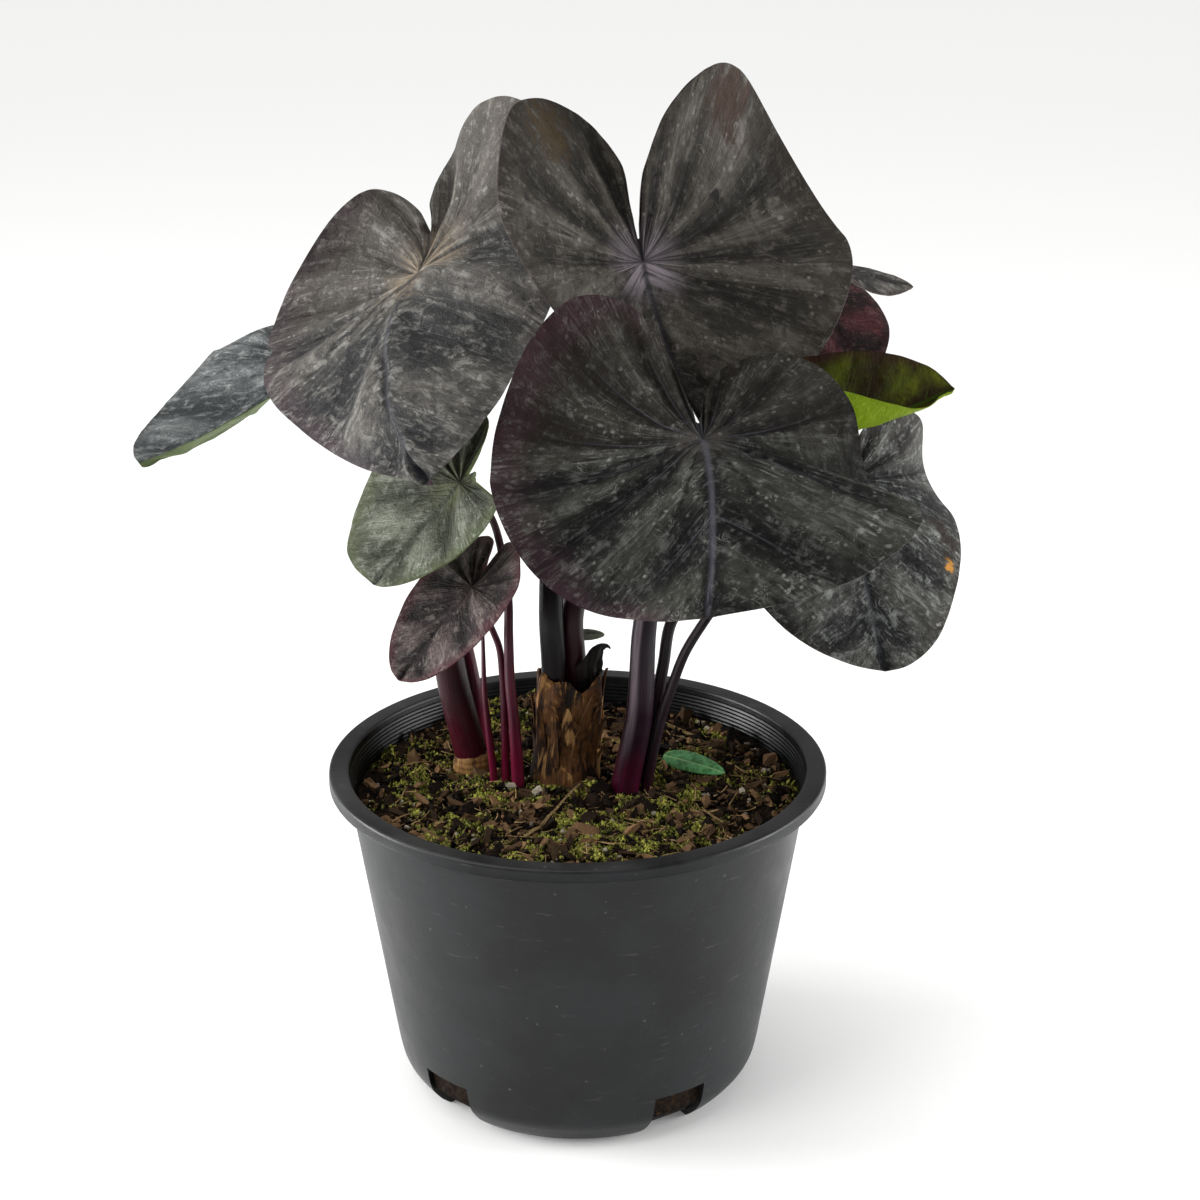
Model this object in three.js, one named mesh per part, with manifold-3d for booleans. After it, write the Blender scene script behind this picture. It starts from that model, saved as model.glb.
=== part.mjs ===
// Potted black coral elephant ear: a squat nursery pot of potting mix that holds a clump of dark,
// heart-shaped leaves on crimson stems. Millimetres, +Z up. The origin is the centre of the pot's
// underside, and the front of the plant faces -Y.
import * as THREE from "three";
import { mergeVertices } from "three/addons/utils/BufferGeometryUtils.js";
import Module from "manifold-3d";

const wasm = await Module();
wasm.setup();

const { degToRad, radToDeg, lerp, smoothstep, seededRandom } = THREE.MathUtils;

// Clearance between pieces that touch
const GAP = 0.35;

// Pot
const POT_HEIGHT = 140;
const RIM_RADIUS = 102.5;
const RIM_INNER_RADIUS = 94.4;
const LIP_HEIGHT = 5.4;
const WALL = 2;
const BODY_TOP_RADIUS = 95.6;
const BODY_LOW_RADIUS = 76.8;
const CORNER_HEIGHT = 18;
const FOOT_RADIUS = 64.5;
const FOOT_WIDTH = 3.5;
const FLOOR_RAISE = 4.5;
const PAD_RADIUS = 38;
const POT_SEGMENTS = 48;
const NOTCH_WIDTH = 24;
const NOTCH_HEIGHT = 22;
const NOTCH_ANGLES = [45, 123, 225.5, 303];

// Soil
const SOIL_LEVEL = 126;
const SOIL_RINGS = [8, 17, 27, 38, 49, 60, 71, 82];
const BARK_CHIPS = 34;
const PEBBLES = 9;

// Stem bases: the centre stub leans to the right as it rises; its outline is a rounded rectangle
const STUB = { low: [-6.3, 12], high: [-3, 12], half: [13.2, 13.5], foot: 104, top: 175 };
const BULB = { at: [-44.6, 20.4], radius: 8.6, foot: 108, top: 136 };

// Leaf blades
const BLADE_THICKNESS = 0.9;
const MIDRIB_DEPTH = 1.1;
const VEINS = 8;

// Leaves, in millimetres and degrees.
// at: where the stem meets the blade. aim, pitch, roll: heading of the midrib, its slope there and the
// turn about it. Left and right are as seen from the stem towards the tip, and the first value of each
// pair is for the left half. tip, width, lobe, sinus: the flat outline's length to the tip, half widths,
// lobe lengths and notch. full: extra breadth near the tip. shut: how closely the lobes meet.
// droop: bend of the midrib down to the tip. lift: bend up into the lobes. foldFront, foldBack: rise of
// each half beside the midrib. curl: further bend out to the margin. twist, sweep: turn and sideways
// bend of the front. pleat: one deep crease, as angle from the midrib, depth and width.
// quilt, wave: swelling between the veins and ripple of the margin. blunt: how rounded the tip is.
// stem: radii at foot and top, how late the stem narrows, and the points that it passes through, from
// its foot up.
const LEAVES = [
  {
    name: "upper_left",
    at: [-68, 102, 322], aim: 250, pitch: -15, roll: -42,
    tip: 154, width: [82, 95], lobe: [71, 62], sinus: 11, full: [0, -0.2], shut: [1.2, 1.1],
    droop: 42, lift: [39, 100], foldFront: [-40, -3], foldBack: [27, 5], curl: [-34, 22],
    twist: 7, sweep: -13, pleat: [0, 0, 12], quilt: 2.4, wave: 1.5, blunt: 0.5,
    stem: {
      radii: [6.9, 2.2], taper: 2.4,
      via: [[-43.6, 20, 112], [-44.6, 20.4, 130], [-53, 25.5, 166], [-62, 39, 222], [-66.5, 58, 268],
        [-68, 79, 306]],
    },
  },
  {
    name: "far_left",
    at: [-126, 144, 273], aim: 239, pitch: -30, roll: -12,
    tip: 100, width: [25, 51], lobe: [41, 20], sinus: 12, full: [-0.1, 0.2], shut: [0.3, 0.3],
    droop: -32, lift: [27, 23], foldFront: [47, 27], foldBack: [13, 12], curl: [-20, -22],
    twist: -5, sweep: 5, pleat: [0, 0, 12], quilt: 0.8, wave: 0.8, blunt: 0,
    stem: {
      radii: [3.1, 1.8], taper: 2,
      via: [[-41.5, 31.5, 104], [-42, 31.5, 130], [-45, 33, 165], [-57, 50, 203], [-80, 86, 234],
        [-110, 122, 254]],
    },
  },
  {
    name: "top",
    at: [27, 78, 332], aim: 291, pitch: -58, roll: -7,
    tip: 73, width: [91, 83], lobe: [61, 66], sinus: 10, full: [0.1, -0.3], shut: [0.5, 1],
    droop: 44, lift: [76, -12], foldFront: [25, 31], foldBack: [-47, 42], curl: [19, 2],
    twist: 8, sweep: -15, pleat: [0, 0, 12], quilt: 1, wave: 1.2, blunt: 0,
    stem: {
      radii: [5.2, 3], taper: 2.4,
      via: [[-9.5, 7, 150], [-9.8, 7, 178], [-11, 8.5, 206], [-8, 34, 252], [8, 64, 300]],
    },
  },
  {
    name: "front",
    at: [48, -42, 290], aim: 276, pitch: -10, roll: -6,
    tip: 86, width: [65, 82], lobe: [47, 77], sinus: 13, full: [0.7, 0.2], shut: [0.1, 0.1],
    droop: 57, lift: [27, 63], foldFront: [-27, -8], foldBack: [4, -31], curl: [-12, 27],
    twist: -30, sweep: 8, pleat: [-88, 21, 12], quilt: 1, wave: 1, blunt: 0.8,
    stem: {
      radii: [5.9, 2.2], taper: 2.4,
      via: [[19.3, -1, 104], [19.4, -1, 126], [25, -1, 161], [27.2, -3, 203], [37, -20, 254]],
    },
  },
  {
    name: "right",
    at: [112, 30, 252], aim: 276, pitch: -53, roll: 18,
    tip: 85, width: [67, 66], lobe: [31, 45], sinus: 6, full: [-0.1, 0.1], shut: [0.3, 0.3],
    droop: 8, lift: [26, 21], foldFront: [13, 8], foldBack: [-8, 8], curl: [-43, -37],
    twist: -7, sweep: -8, pleat: [-103, 12, 13], quilt: 0.9, wave: 1, blunt: 0.9,
    stem: {
      radii: [2.8, 1.9], taper: 1.6,
      via: [[26.5, 5.4, 104], [26.6, 5.4, 130], [31.5, 6, 158.5], [35, 6.4, 180], [38.5, 8, 199],
        [52, 16, 214], [88, 36, 230]],
    },
  },
  {
    name: "back_right",
    at: [104, 134, 303], aim: -11, pitch: -56, roll: -33,
    tip: 42, width: [44, 42], lobe: [39, 34], sinus: 6, full: [0.3, 0], shut: [0.3, 0.3],
    droop: -6, lift: [27, 22], foldFront: [0, 5], foldBack: [-1, 10], curl: [-40, -15],
    twist: -11, sweep: -4, pleat: [0, 0, 12], quilt: 0.7, wave: 0.8, blunt: 0,
    stem: {
      radii: [4.9, 2], taper: 2.4,
      via: [[-1.5, 13.5, 150], [-1.5, 13.5, 178], [-1.6, 15, 203], [22, 48, 240], [56, 88, 258],
        [86, 116, 284]],
    },
  },
  {
    name: "slim_right",
    at: [102, 114, 321], aim: 17, pitch: -9, roll: -6,
    tip: 48, width: [13, 21], lobe: [17, 12], sinus: 5, full: [0.1, 0.1], shut: [0.3, 0.3],
    droop: 10, lift: [19, 20], foldFront: [11, -3], foldBack: [13, 43], curl: [-22, -3],
    twist: -20, sweep: 0, pleat: [0, 0, 12], quilt: 0.4, wave: 0.4, blunt: 0,
    stem: {
      radii: [2.2, 1.3], taper: 1.6,
      via: [[-7.4, 20.5, 150], [-7.4, 20.5, 174], [-5, 26, 210], [6, 50, 242], [28, 78, 274],
        [74, 92, 306]],
    },
  },
  {
    name: "unfurling",
    at: [96, 16, 275], aim: 20, pitch: 6, roll: -16,
    tip: 68, width: [33, 33], lobe: [18, 16], sinus: 3, full: [0.2, -0.3], shut: [0.3, 0.3],
    droop: 0, lift: [22, 24], foldFront: [51, 65], foldBack: [50, 80], curl: [2, 21],
    twist: -10, sweep: -10, pleat: [0, 0, 12], quilt: 0.3, wave: 0.3, blunt: 0,
    stem: {
      radii: [2.3, 1.6], taper: 1.6,
      via: [[28.4, -0.3, 104], [28.6, -0.3, 128], [34.4, 1.2, 159], [37.8, 1.5, 170], [43.5, 1, 187],
        [52, 0, 202.5], [64, -8, 224], [76, -8, 244], [89, 4, 262]],
    },
  },
  {
    name: "small_left",
    at: [-47, 10, 257], aim: 209, pitch: -46, roll: 5,
    tip: 57, width: [42, 50], lobe: [8, 30], sinus: 8, full: [-0.1, 0.4], shut: [0.3, 0.3],
    droop: 1, lift: [20, -7], foldFront: [-4, 1], foldBack: [41, 28], curl: [-10, -15],
    twist: 1, sweep: 6, pleat: [0, 0, 12], quilt: 0.6, wave: 0.6, blunt: 0.9,
    stem: {
      radii: [2.9, 1.3], taper: 1.1,
      via: [[-24.7, 0.5, 104], [-24.9, 0.5, 130], [-26.4, 1, 158], [-27.9, 2, 176], [-28.2, 3.5, 192],
        [-28.6, 8, 212], [-34, 16, 238]],
    },
  },
  {
    name: "small_low",
    at: [-42, -5, 218], aim: 219, pitch: -40, roll: -4,
    tip: 50, width: [32, 31], lobe: [23, 23], sinus: 14, full: [0.2, 0], shut: [0.3, 0.3],
    droop: 2, lift: [32, 6], foldFront: [12, 20], foldBack: [15, -1], curl: [-5, -12],
    twist: 10, sweep: 2, pleat: [0, 0, 12], quilt: 0.6, wave: 0.6, blunt: 0.6,
    stem: {
      radii: [2, 1.2], taper: 1,
      via: [[-30.1, 3.4, 104], [-30.1, 3.4, 130], [-30.4, 4.1, 161], [-31, 5, 176], [-32, 4.5, 188],
        [-34.7, 2.5, 197], [-38.5, -1.2, 208]],
    },
  },
];
const SMALL_LEAF_TIP = 60;

// Outline of half a blade from the tip to the lobe, in units of half width and of tip or lobe length
const FRONT_OUTLINE = [
  [0, 1], [0.1, 0.945], [0.34, 0.8], [0.66, 0.53], [0.91, 0.2], [1, -0.14], [0.95, -0.5], [0.76, -0.84],
];
const BLUNT_TIP = [[0, 0.93], [0.2, 0.905], [0.45, 0.79], [0.7, 0.53]];
const OPEN_LOBE = [[0.5, -1], [0.25, -0.93], [0.1, -0.68], [0.035, -0.4]];
const SHUT_LOBE = [[0.42, -1], [0.15, -0.95], [0.03, -0.66], [0.015, -0.36]];

const plant = new THREE.Group();

// Adds one named piece to the plant.
function addPiece(name, geometry, colour, roughness) {
  const material = new THREE.MeshStandardMaterial({ color: colour, roughness, metalness: 0 });
  const mesh = new THREE.Mesh(geometry, material);
  mesh.name = name;
  plant.add(mesh);
  return mesh;
}

// A closed mesh as a solid that can be joined and cut.
function solidOf(geometry) {
  const bare = geometry.clone();
  bare.deleteAttribute("normal");
  bare.deleteAttribute("uv");
  const merged = mergeVertices(bare, 1e-4);
  const index = merged.index.array;
  const kept = [];
  for (let i = 0; i < index.length; i += 3) {
    const [a, b, c] = [index[i], index[i + 1], index[i + 2]];
    if (a !== b && b !== c && c !== a) kept.push(a, b, c);
  }
  const mesh = new wasm.Mesh({
    numProp: 3,
    vertProperties: merged.attributes.position.array,
    triVerts: new Uint32Array(kept),
  });
  return new wasm.Manifold(mesh);
}

// A solid as a geometry with flat faces.
function geometryOf(solid) {
  const mesh = solid.getMesh();
  const indexed = new THREE.BufferGeometry();
  indexed.setAttribute("position", new THREE.BufferAttribute(new Float32Array(mesh.vertProperties), 3));
  indexed.setIndex(new THREE.BufferAttribute(new Uint32Array(mesh.triVerts), 1));
  const geometry = indexed.toNonIndexed();
  geometry.computeVertexNormals();
  return geometry;
}

// A geometry from points and corner numbers.
function geometryFrom(points, corners) {
  const geometry = new THREE.BufferGeometry().setFromPoints(points);
  geometry.setIndex(corners);
  geometry.computeVertexNormals();
  return geometry;
}

// A closed shell of rings between two poles: pointAt(ring, column) gives each ring's points, counter-
// clockwise from above, and the rings run from the top pole outwards and down to the bottom pole.
function ringShell(topPole, ringCount, columns, pointAt, bottomPole) {
  const points = [topPole];
  for (let ring = 0; ring < ringCount; ring++) {
    for (let column = 0; column < columns; column++) points.push(pointAt(ring, column));
  }
  points.push(bottomPole);
  const corners = [];
  const at = (ring, column) => 1 + ring * columns + (column % columns);
  for (let column = 0; column < columns; column++) {
    corners.push(0, at(0, column), at(0, column + 1));
    corners.push(points.length - 1, at(ringCount - 1, column + 1), at(ringCount - 1, column));
    for (let ring = 0; ring + 1 < ringCount; ring++) {
      const [a, b] = [at(ring, column), at(ring, column + 1)];
      const [c, d] = [at(ring + 1, column + 1), at(ring + 1, column)];
      corners.push(a, d, c, a, c, b);
    }
  }
  return geometryFrom(points, corners);
}

// A closed tube through the path points. A taper above 1 keeps the foot's radius for longer.
function taperedTube(path, footRadius, topRadius, taper, sides, steps) {
  const curve = new THREE.CatmullRomCurve3(path, false, "centripetal");
  const centres = curve.getSpacedPoints(steps);
  const frames = curve.computeFrenetFrames(steps, false);
  const pointAt = (ring, column) => {
    const step = steps - ring;
    const angle = (column / sides) * 2 * Math.PI;
    const radius = lerp(footRadius, topRadius, (step / steps) ** taper);
    return centres[step]
      .clone()
      .addScaledVector(frames.normals[step], radius * Math.cos(angle))
      .addScaledVector(frames.binormals[step], radius * Math.sin(angle));
  };
  return ringShell(centres[steps], steps + 1, sides, pointAt, centres[0]);
}

// Inner face of the pot's wall and floor, as a path from the rim down to the axis, moved in by a margin.
function innerPath(path, margin) {
  const lowRadius = BODY_LOW_RADIUS - WALL - margin;
  path.lineTo(lowRadius, CORNER_HEIGHT + 2);
  path.quadraticCurveTo(lowRadius - 1, FLOOR_RAISE + 6, 66 - margin, FLOOR_RAISE + WALL + margin);
  path.lineTo(PAD_RADIUS + 1 - margin, FLOOR_RAISE + WALL + margin);
  path.lineTo(PAD_RADIUS - 2 - margin, WALL + 0.2 + margin);
  path.lineTo(0, WALL + 0.2 + margin);
}

// Radius of the pot's inner face at a height on the wall.
function innerRadius(height) {
  const low = BODY_LOW_RADIUS - WALL;
  return lerp(low, RIM_INNER_RADIUS, (height - CORNER_HEIGHT - 2) / (POT_HEIGHT - 0.8 - CORNER_HEIGHT - 2));
}

// Pot: a turned shell with an L-shaped rim, a raised floor around a flat centre pad, and drain notches.
function buildPot() {
  const profile = new THREE.Path();
  const underRim = POT_HEIGHT - LIP_HEIGHT;
  profile.moveTo(0, 0);
  profile.lineTo(PAD_RADIUS, 0);
  profile.lineTo(PAD_RADIUS + 3, FLOOR_RAISE);
  profile.lineTo(FOOT_RADIUS - FOOT_WIDTH, FLOOR_RAISE);
  profile.lineTo(FOOT_RADIUS - FOOT_WIDTH, 0);
  profile.lineTo(FOOT_RADIUS, 0);
  profile.quadraticCurveTo(BODY_LOW_RADIUS - 0.8, CORNER_HEIGHT / 2, BODY_LOW_RADIUS, CORNER_HEIGHT);
  profile.lineTo(BODY_TOP_RADIUS, POT_HEIGHT - WALL);
  profile.lineTo(RIM_RADIUS - WALL, POT_HEIGHT - WALL);
  profile.lineTo(RIM_RADIUS - WALL, underRim);
  profile.lineTo(RIM_RADIUS, underRim);
  profile.lineTo(RIM_RADIUS, POT_HEIGHT - 1);
  profile.lineTo(RIM_RADIUS - 1, POT_HEIGHT);
  profile.lineTo(RIM_INNER_RADIUS + 0.8, POT_HEIGHT);
  profile.lineTo(RIM_INNER_RADIUS, POT_HEIGHT - 0.8);
  innerPath(profile, 0);
  const turned = new THREE.LatheGeometry(profile.getPoints(5), POT_SEGMENTS);
  turned.rotateX(Math.PI / 2);
  let pot = solidOf(turned);
  for (const angle of NOTCH_ANGLES) {
    pot = pot.subtract(radialBox(angle, 65.5, 90, -1, NOTCH_HEIGHT));
    pot = pot.subtract(radialBox(angle, 58, 90, -1, FLOOR_RAISE - 0.1));
  }
  addPiece("pot", geometryOf(pot), "#3b3d40", 0.5);
}

// A notch cutter: a box that points outwards at an angle, between two radii and two heights.
function radialBox(angle, near, far, low, high) {
  const box = new THREE.BoxGeometry(far - near, NOTCH_WIDTH, high - low);
  box.translate((near + far) / 2, 0, (low + high) / 2);
  box.rotateZ(degToRad(angle));
  return solidOf(box);
}

// Height of the soil: a low mound, a rise at the back left, and small lumps.
function soilHeight(x, y) {
  const mound = 3 * Math.exp(-((x + 8) ** 2 + (y - 8) ** 2) / 42 ** 2);
  const backRise = 7 * Math.exp(-((x + 26) ** 2 + (y - 82) ** 2) / 34 ** 2);
  const lumps = 1 * Math.sin(x / 7 + 0.6) * Math.cos(y / 6) + 0.6 * Math.sin(x / 3.1 + y / 4.3);
  return SOIL_LEVEL + mound + backRise + lumps;
}

// Soil: fills the pot, with bark chips, pebbles and twigs sunk into its surface, and plain holes for
// what stands in it.
function buildSoil(standing) {
  const side = new THREE.Path();
  side.moveTo(innerRadius(SOIL_LEVEL - 4) - GAP, SOIL_LEVEL - 4);
  innerPath(side, GAP);
  const wall = side.getPoints(5).slice(0, -1);
  const rings = SOIL_RINGS.length + 1 + wall.length;
  const pointAt = (ring, column) => {
    const angle = (column / POT_SEGMENTS) * 2 * Math.PI;
    const [dx, dy] = [Math.sin(angle), -Math.cos(angle)];
    if (ring > SOIL_RINGS.length) {
      const point = wall[ring - SOIL_RINGS.length - 1];
      return new THREE.Vector3(point.x * dx, point.x * dy, point.y);
    }
    const edge = innerRadius(SOIL_LEVEL);
    const height = ring < SOIL_RINGS.length ? 0 : soilHeight(edge * dx, edge * dy);
    const radius = ring < SOIL_RINGS.length ? SOIL_RINGS[ring] : innerRadius(height) - GAP;
    return new THREE.Vector3(radius * dx, radius * dy, height || soilHeight(radius * dx, radius * dy));
  };
  const top = new THREE.Vector3(0, 0, soilHeight(0, 0));
  const bottom = new THREE.Vector3(0, 0, wall.at(-1).y);
  let soil = solidOf(ringShell(top, rings, POT_SEGMENTS, pointAt, bottom));
  seededRandom(11);
  for (let i = 0; i < BARK_CHIPS; i++) soil = soil.add(barkChip());
  for (let i = 0; i < PEBBLES; i++) soil = soil.add(pebble());
  soil = soil.add(twig([-52, -12], 42, 100)).add(twig([30, 30], 26, 5)).add(twig([-20, -44], 34, 62));
  for (const stander of standing) soil = soil.subtract(stander);
  addPiece("soil", geometryOf(soil), "#2f251b", 0.95);
}

// A random place on the soil, clear of the stems in its middle.
function soilSpot(reach) {
  const angle = seededRandom() * 2 * Math.PI;
  const radius = lerp(34, reach, Math.sqrt(seededRandom()));
  return [radius * Math.cos(angle), radius * Math.sin(angle)];
}

// A flat bark chip, tilted a little and half sunk.
function barkChip() {
  const [length, width, height] = [lerp(6, 13, seededRandom()), lerp(3, 6, seededRandom()), 2.4];
  const [x, y] = soilSpot(80);
  const chip = new THREE.BoxGeometry(length, width, height);
  chip.rotateX(degToRad(lerp(-18, 18, seededRandom())));
  chip.rotateY(degToRad(lerp(-18, 18, seededRandom())));
  chip.rotateZ(seededRandom() * Math.PI);
  chip.translate(x, y, soilHeight(x, y) + 0.4);
  return solidOf(chip);
}

// A rounded pebble, half sunk.
function pebble() {
  const radius = lerp(1.6, 3, seededRandom());
  const [x, y] = soilSpot(78);
  const stone = new THREE.IcosahedronGeometry(radius, 0);
  stone.translate(x, y, soilHeight(x, y) + 0.2);
  return solidOf(stone);
}

// A straight twig that lies on the soil from a point, along a heading in degrees.
function twig([x, y], length, heading) {
  const stick = new THREE.CylinderGeometry(1, 1.4, length, 6);
  stick.rotateZ(-Math.PI / 2);
  stick.rotateZ(degToRad(heading));
  stick.translate(x, y, soilHeight(x, y) + 1);
  return solidOf(stick);
}

// Centre stub: the papery sheath of old leaf bases, wrinkled and torn at its top, around a sunk core.
function stubSolid(margin) {
  const rings = [
    [0.5, STUB.top - 9, 0],
    [0.84, STUB.top - 8, 0],
    [0.93, STUB.top - 0.5, 1],
    [1, STUB.top - 1.5, 1],
    [1.03, STUB.top - 12, 0.3],
    [0.95, STUB.top - 27, 0],
    [1.04, STUB.top - 42, 0],
    [1.06, STUB.top - 50, 0],
    [0.8, STUB.foot - margin, 0],
  ];
  const columns = 24;
  const centreAt = (height) => {
    const rise = (height - STUB.foot) / (STUB.top - STUB.foot);
    return [lerp(STUB.low[0], STUB.high[0], rise), lerp(STUB.low[1], STUB.high[1], rise)];
  };
  const pointAt = (ring, column) => {
    const angle = (column / columns) * 2 * Math.PI;
    const [share, height, torn] = rings[ring];
    const [cx, cy] = centreAt(height);
    const [dx, dy] = [Math.cos(angle), Math.sin(angle)];
    const edge = 1 / Math.cbrt(Math.abs(dx / STUB.half[0]) ** 3 + Math.abs(dy / STUB.half[1]) ** 3);
    const wrinkle = 1 + 0.02 * (1 + Math.sin(4 * angle + 1.3 * ring)) + 0.025 * ((column + ring) % 2);
    const ragged = torn * (2.2 * Math.sin(3 * angle + 2.1) + 1.6 * Math.sin(7 * angle + 0.5));
    const radius = edge * share * wrinkle + margin;
    return new THREE.Vector3(cx + radius * dx, cy + radius * dy, height + ragged);
  };
  const top = new THREE.Vector3(...STUB.high, STUB.top - 9);
  const bottom = new THREE.Vector3(...STUB.low, STUB.foot - margin);
  return solidOf(ringShell(top, rings.length, columns, pointAt, bottom));
}

// Left bulb: the tan swelling under the thick left stem.
function bulbSolid(margin) {
  const [cx, cy] = BULB.at;
  const profile = [[0.6, 1], [0.92, 0.86], [1, 0.6], [0.86, 0.2], [0.5, 0]];
  const columns = 14;
  const pointAt = (ring, column) => {
    const angle = (column / columns) * 2 * Math.PI;
    const [share, rise] = profile[ring];
    const radius = BULB.radius * share + margin;
    const height = lerp(BULB.foot - margin, BULB.top + margin, rise);
    return new THREE.Vector3(cx + radius * Math.cos(angle), cy + radius * Math.sin(angle), height);
  };
  const top = new THREE.Vector3(cx, cy, BULB.top + margin);
  const bottom = new THREE.Vector3(cx, cy, BULB.foot - margin);
  return solidOf(ringShell(top, profile.length, columns, pointAt, bottom));
}

// Adds a corm with sockets for what stands in it.
function addCorm(name, corm, sockets, colour) {
  let cut = corm;
  for (const socket of sockets) cut = cut.subtract(socket);
  addPiece(name, geometryOf(cut), colour, 0.85);
}

// Flat outline of half a blade from the tip (share 0) to the notch between the lobes (share 1).
function halfOutline(leaf, side, share) {
  const [full, shut, width, lobe] = [leaf.full[side], leaf.shut[side], leaf.width[side], leaf.lobe[side]];
  const front = FRONT_OUTLINE.map(([x, y], i) => {
    const swell = y > 0 && y < 1 ? full * 2.2 * y * Math.sqrt(1 - y) : 0;
    const [roundX, roundY] = BLUNT_TIP[i] ?? [x, y];
    return [lerp(x, roundX, leaf.blunt) + swell, lerp(y, roundY, leaf.blunt)];
  });
  const back = OPEN_LOBE.map(([x, y], i) => {
    const [shutX, shutY] = SHUT_LOBE[i];
    return [lerp(x, shutX, shut), lerp(y, shutY, shut)];
  });
  const notch = Math.min(leaf.sinus, 0.3 * Math.min(...leaf.lobe));
  const points = [...front, ...back, [0, -notch / lobe]];
  const corners = points.map(([x, y]) => new THREE.Vector3(x, y, 0));
  const point = new THREE.CatmullRomCurve3(corners, false, "centripetal").getPoint(share);
  const least = share > 0 && share < 1 ? 0.01 : 0;
  return [Math.max(point.x, least) * width, point.y * (point.y > 0 ? leaf.tip : lobe)];
}

// A point of the blade's middle surface in the leaf's own frame: the flat point (x, y), raised by swell,
// after the midrib's bend, the fold and curl of its half, the crease, the twist and the sweep.
function surfacePoint(leaf, x, y, swell) {
  const rightShare = 0.5 + 0.5 * Math.tanh(x / 6);
  const mixed = ([left, right]) => lerp(left, right, rightShare);
  const lobe = mixed(leaf.lobe);
  const bend = y >= 0 ? -degToRad(leaf.droop) / leaf.tip : degToRad(mixed(leaf.lift)) / lobe;
  const turn = bend * y;
  const [along, rise] = Math.abs(bend) < 1e-6 ? [y, 0] : [Math.sin(turn) / bend, (1 - Math.cos(turn)) / bend];
  const frontShare = smoothstep(y / (y >= 0 ? leaf.tip : lobe), -1, 1);
  const fold = degToRad(lerp(mixed(leaf.foldBack), mixed(leaf.foldFront), frontShare));
  const curl = degToRad(mixed(leaf.curl));
  const reach = Math.abs(x);
  const steps = 24;
  let [across, up] = [0, 0];
  for (let i = 0; i < steps; i++) {
    const distance = (reach * (i + 0.5)) / steps;
    const slope = fold * (1 - Math.exp(-distance / 5)) + (curl * distance) / leaf.width[x >= 0 ? 1 : 0];
    across += (Math.cos(slope) * reach) / steps;
    up += (Math.sin(slope) * reach) / steps;
  }
  across *= Math.sign(x);
  const twist = degToRad(leaf.twist) * Math.max(y / leaf.tip, 0);
  const [angle, depth, spread] = leaf.pleat;
  const crease = Math.min(Math.hypot(x, y) / 70, 1.6) ** 1.3;
  const fade = Math.exp(-(((radToDeg(Math.atan2(x, y)) - angle) / spread) ** 2));
  const height = across * Math.sin(twist) + up * Math.cos(twist) - depth * crease * fade + swell;
  const sideways = y > 0 ? (Math.sin(degToRad(leaf.sweep)) * y * y) / leaf.tip : 0;
  return new THREE.Vector3(
    across * Math.cos(twist) - up * Math.sin(twist) + sideways,
    along - Math.sin(turn) * height,
    rise + Math.cos(turn) * height,
  );
}

// Turns the leaf's own frame (right, towards the tip, up) into the plant's frame.
function leafMatrix(leaf) {
  const [aim, pitch, roll] = [degToRad(leaf.aim), degToRad(leaf.pitch), degToRad(leaf.roll)];
  const level = Math.cos(pitch);
  const forward = new THREE.Vector3(Math.cos(aim) * level, Math.sin(aim) * level, Math.sin(pitch));
  const right = new THREE.Vector3(Math.sin(aim), -Math.cos(aim), 0);
  const up = new THREE.Vector3().crossVectors(right, forward);
  const rolledRight = right.clone().multiplyScalar(Math.cos(roll)).addScaledVector(up, Math.sin(roll));
  const rolledUp = new THREE.Vector3().crossVectors(rolledRight, forward);
  return new THREE.Matrix4().makeBasis(rolledRight, forward, rolledUp).setPosition(...leaf.at);
}

// Unit normal of the blade's middle surface at a flat point.
function surfaceNormal(leaf, x, y) {
  const step = 0.4;
  const alongX = surfacePoint(leaf, x + step, y, 0).sub(surfacePoint(leaf, x - step, y, 0));
  const alongY = surfacePoint(leaf, x, y + step, 0).sub(surfacePoint(leaf, x, y - step, 0));
  return alongX.cross(alongY).normalize();
}

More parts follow.
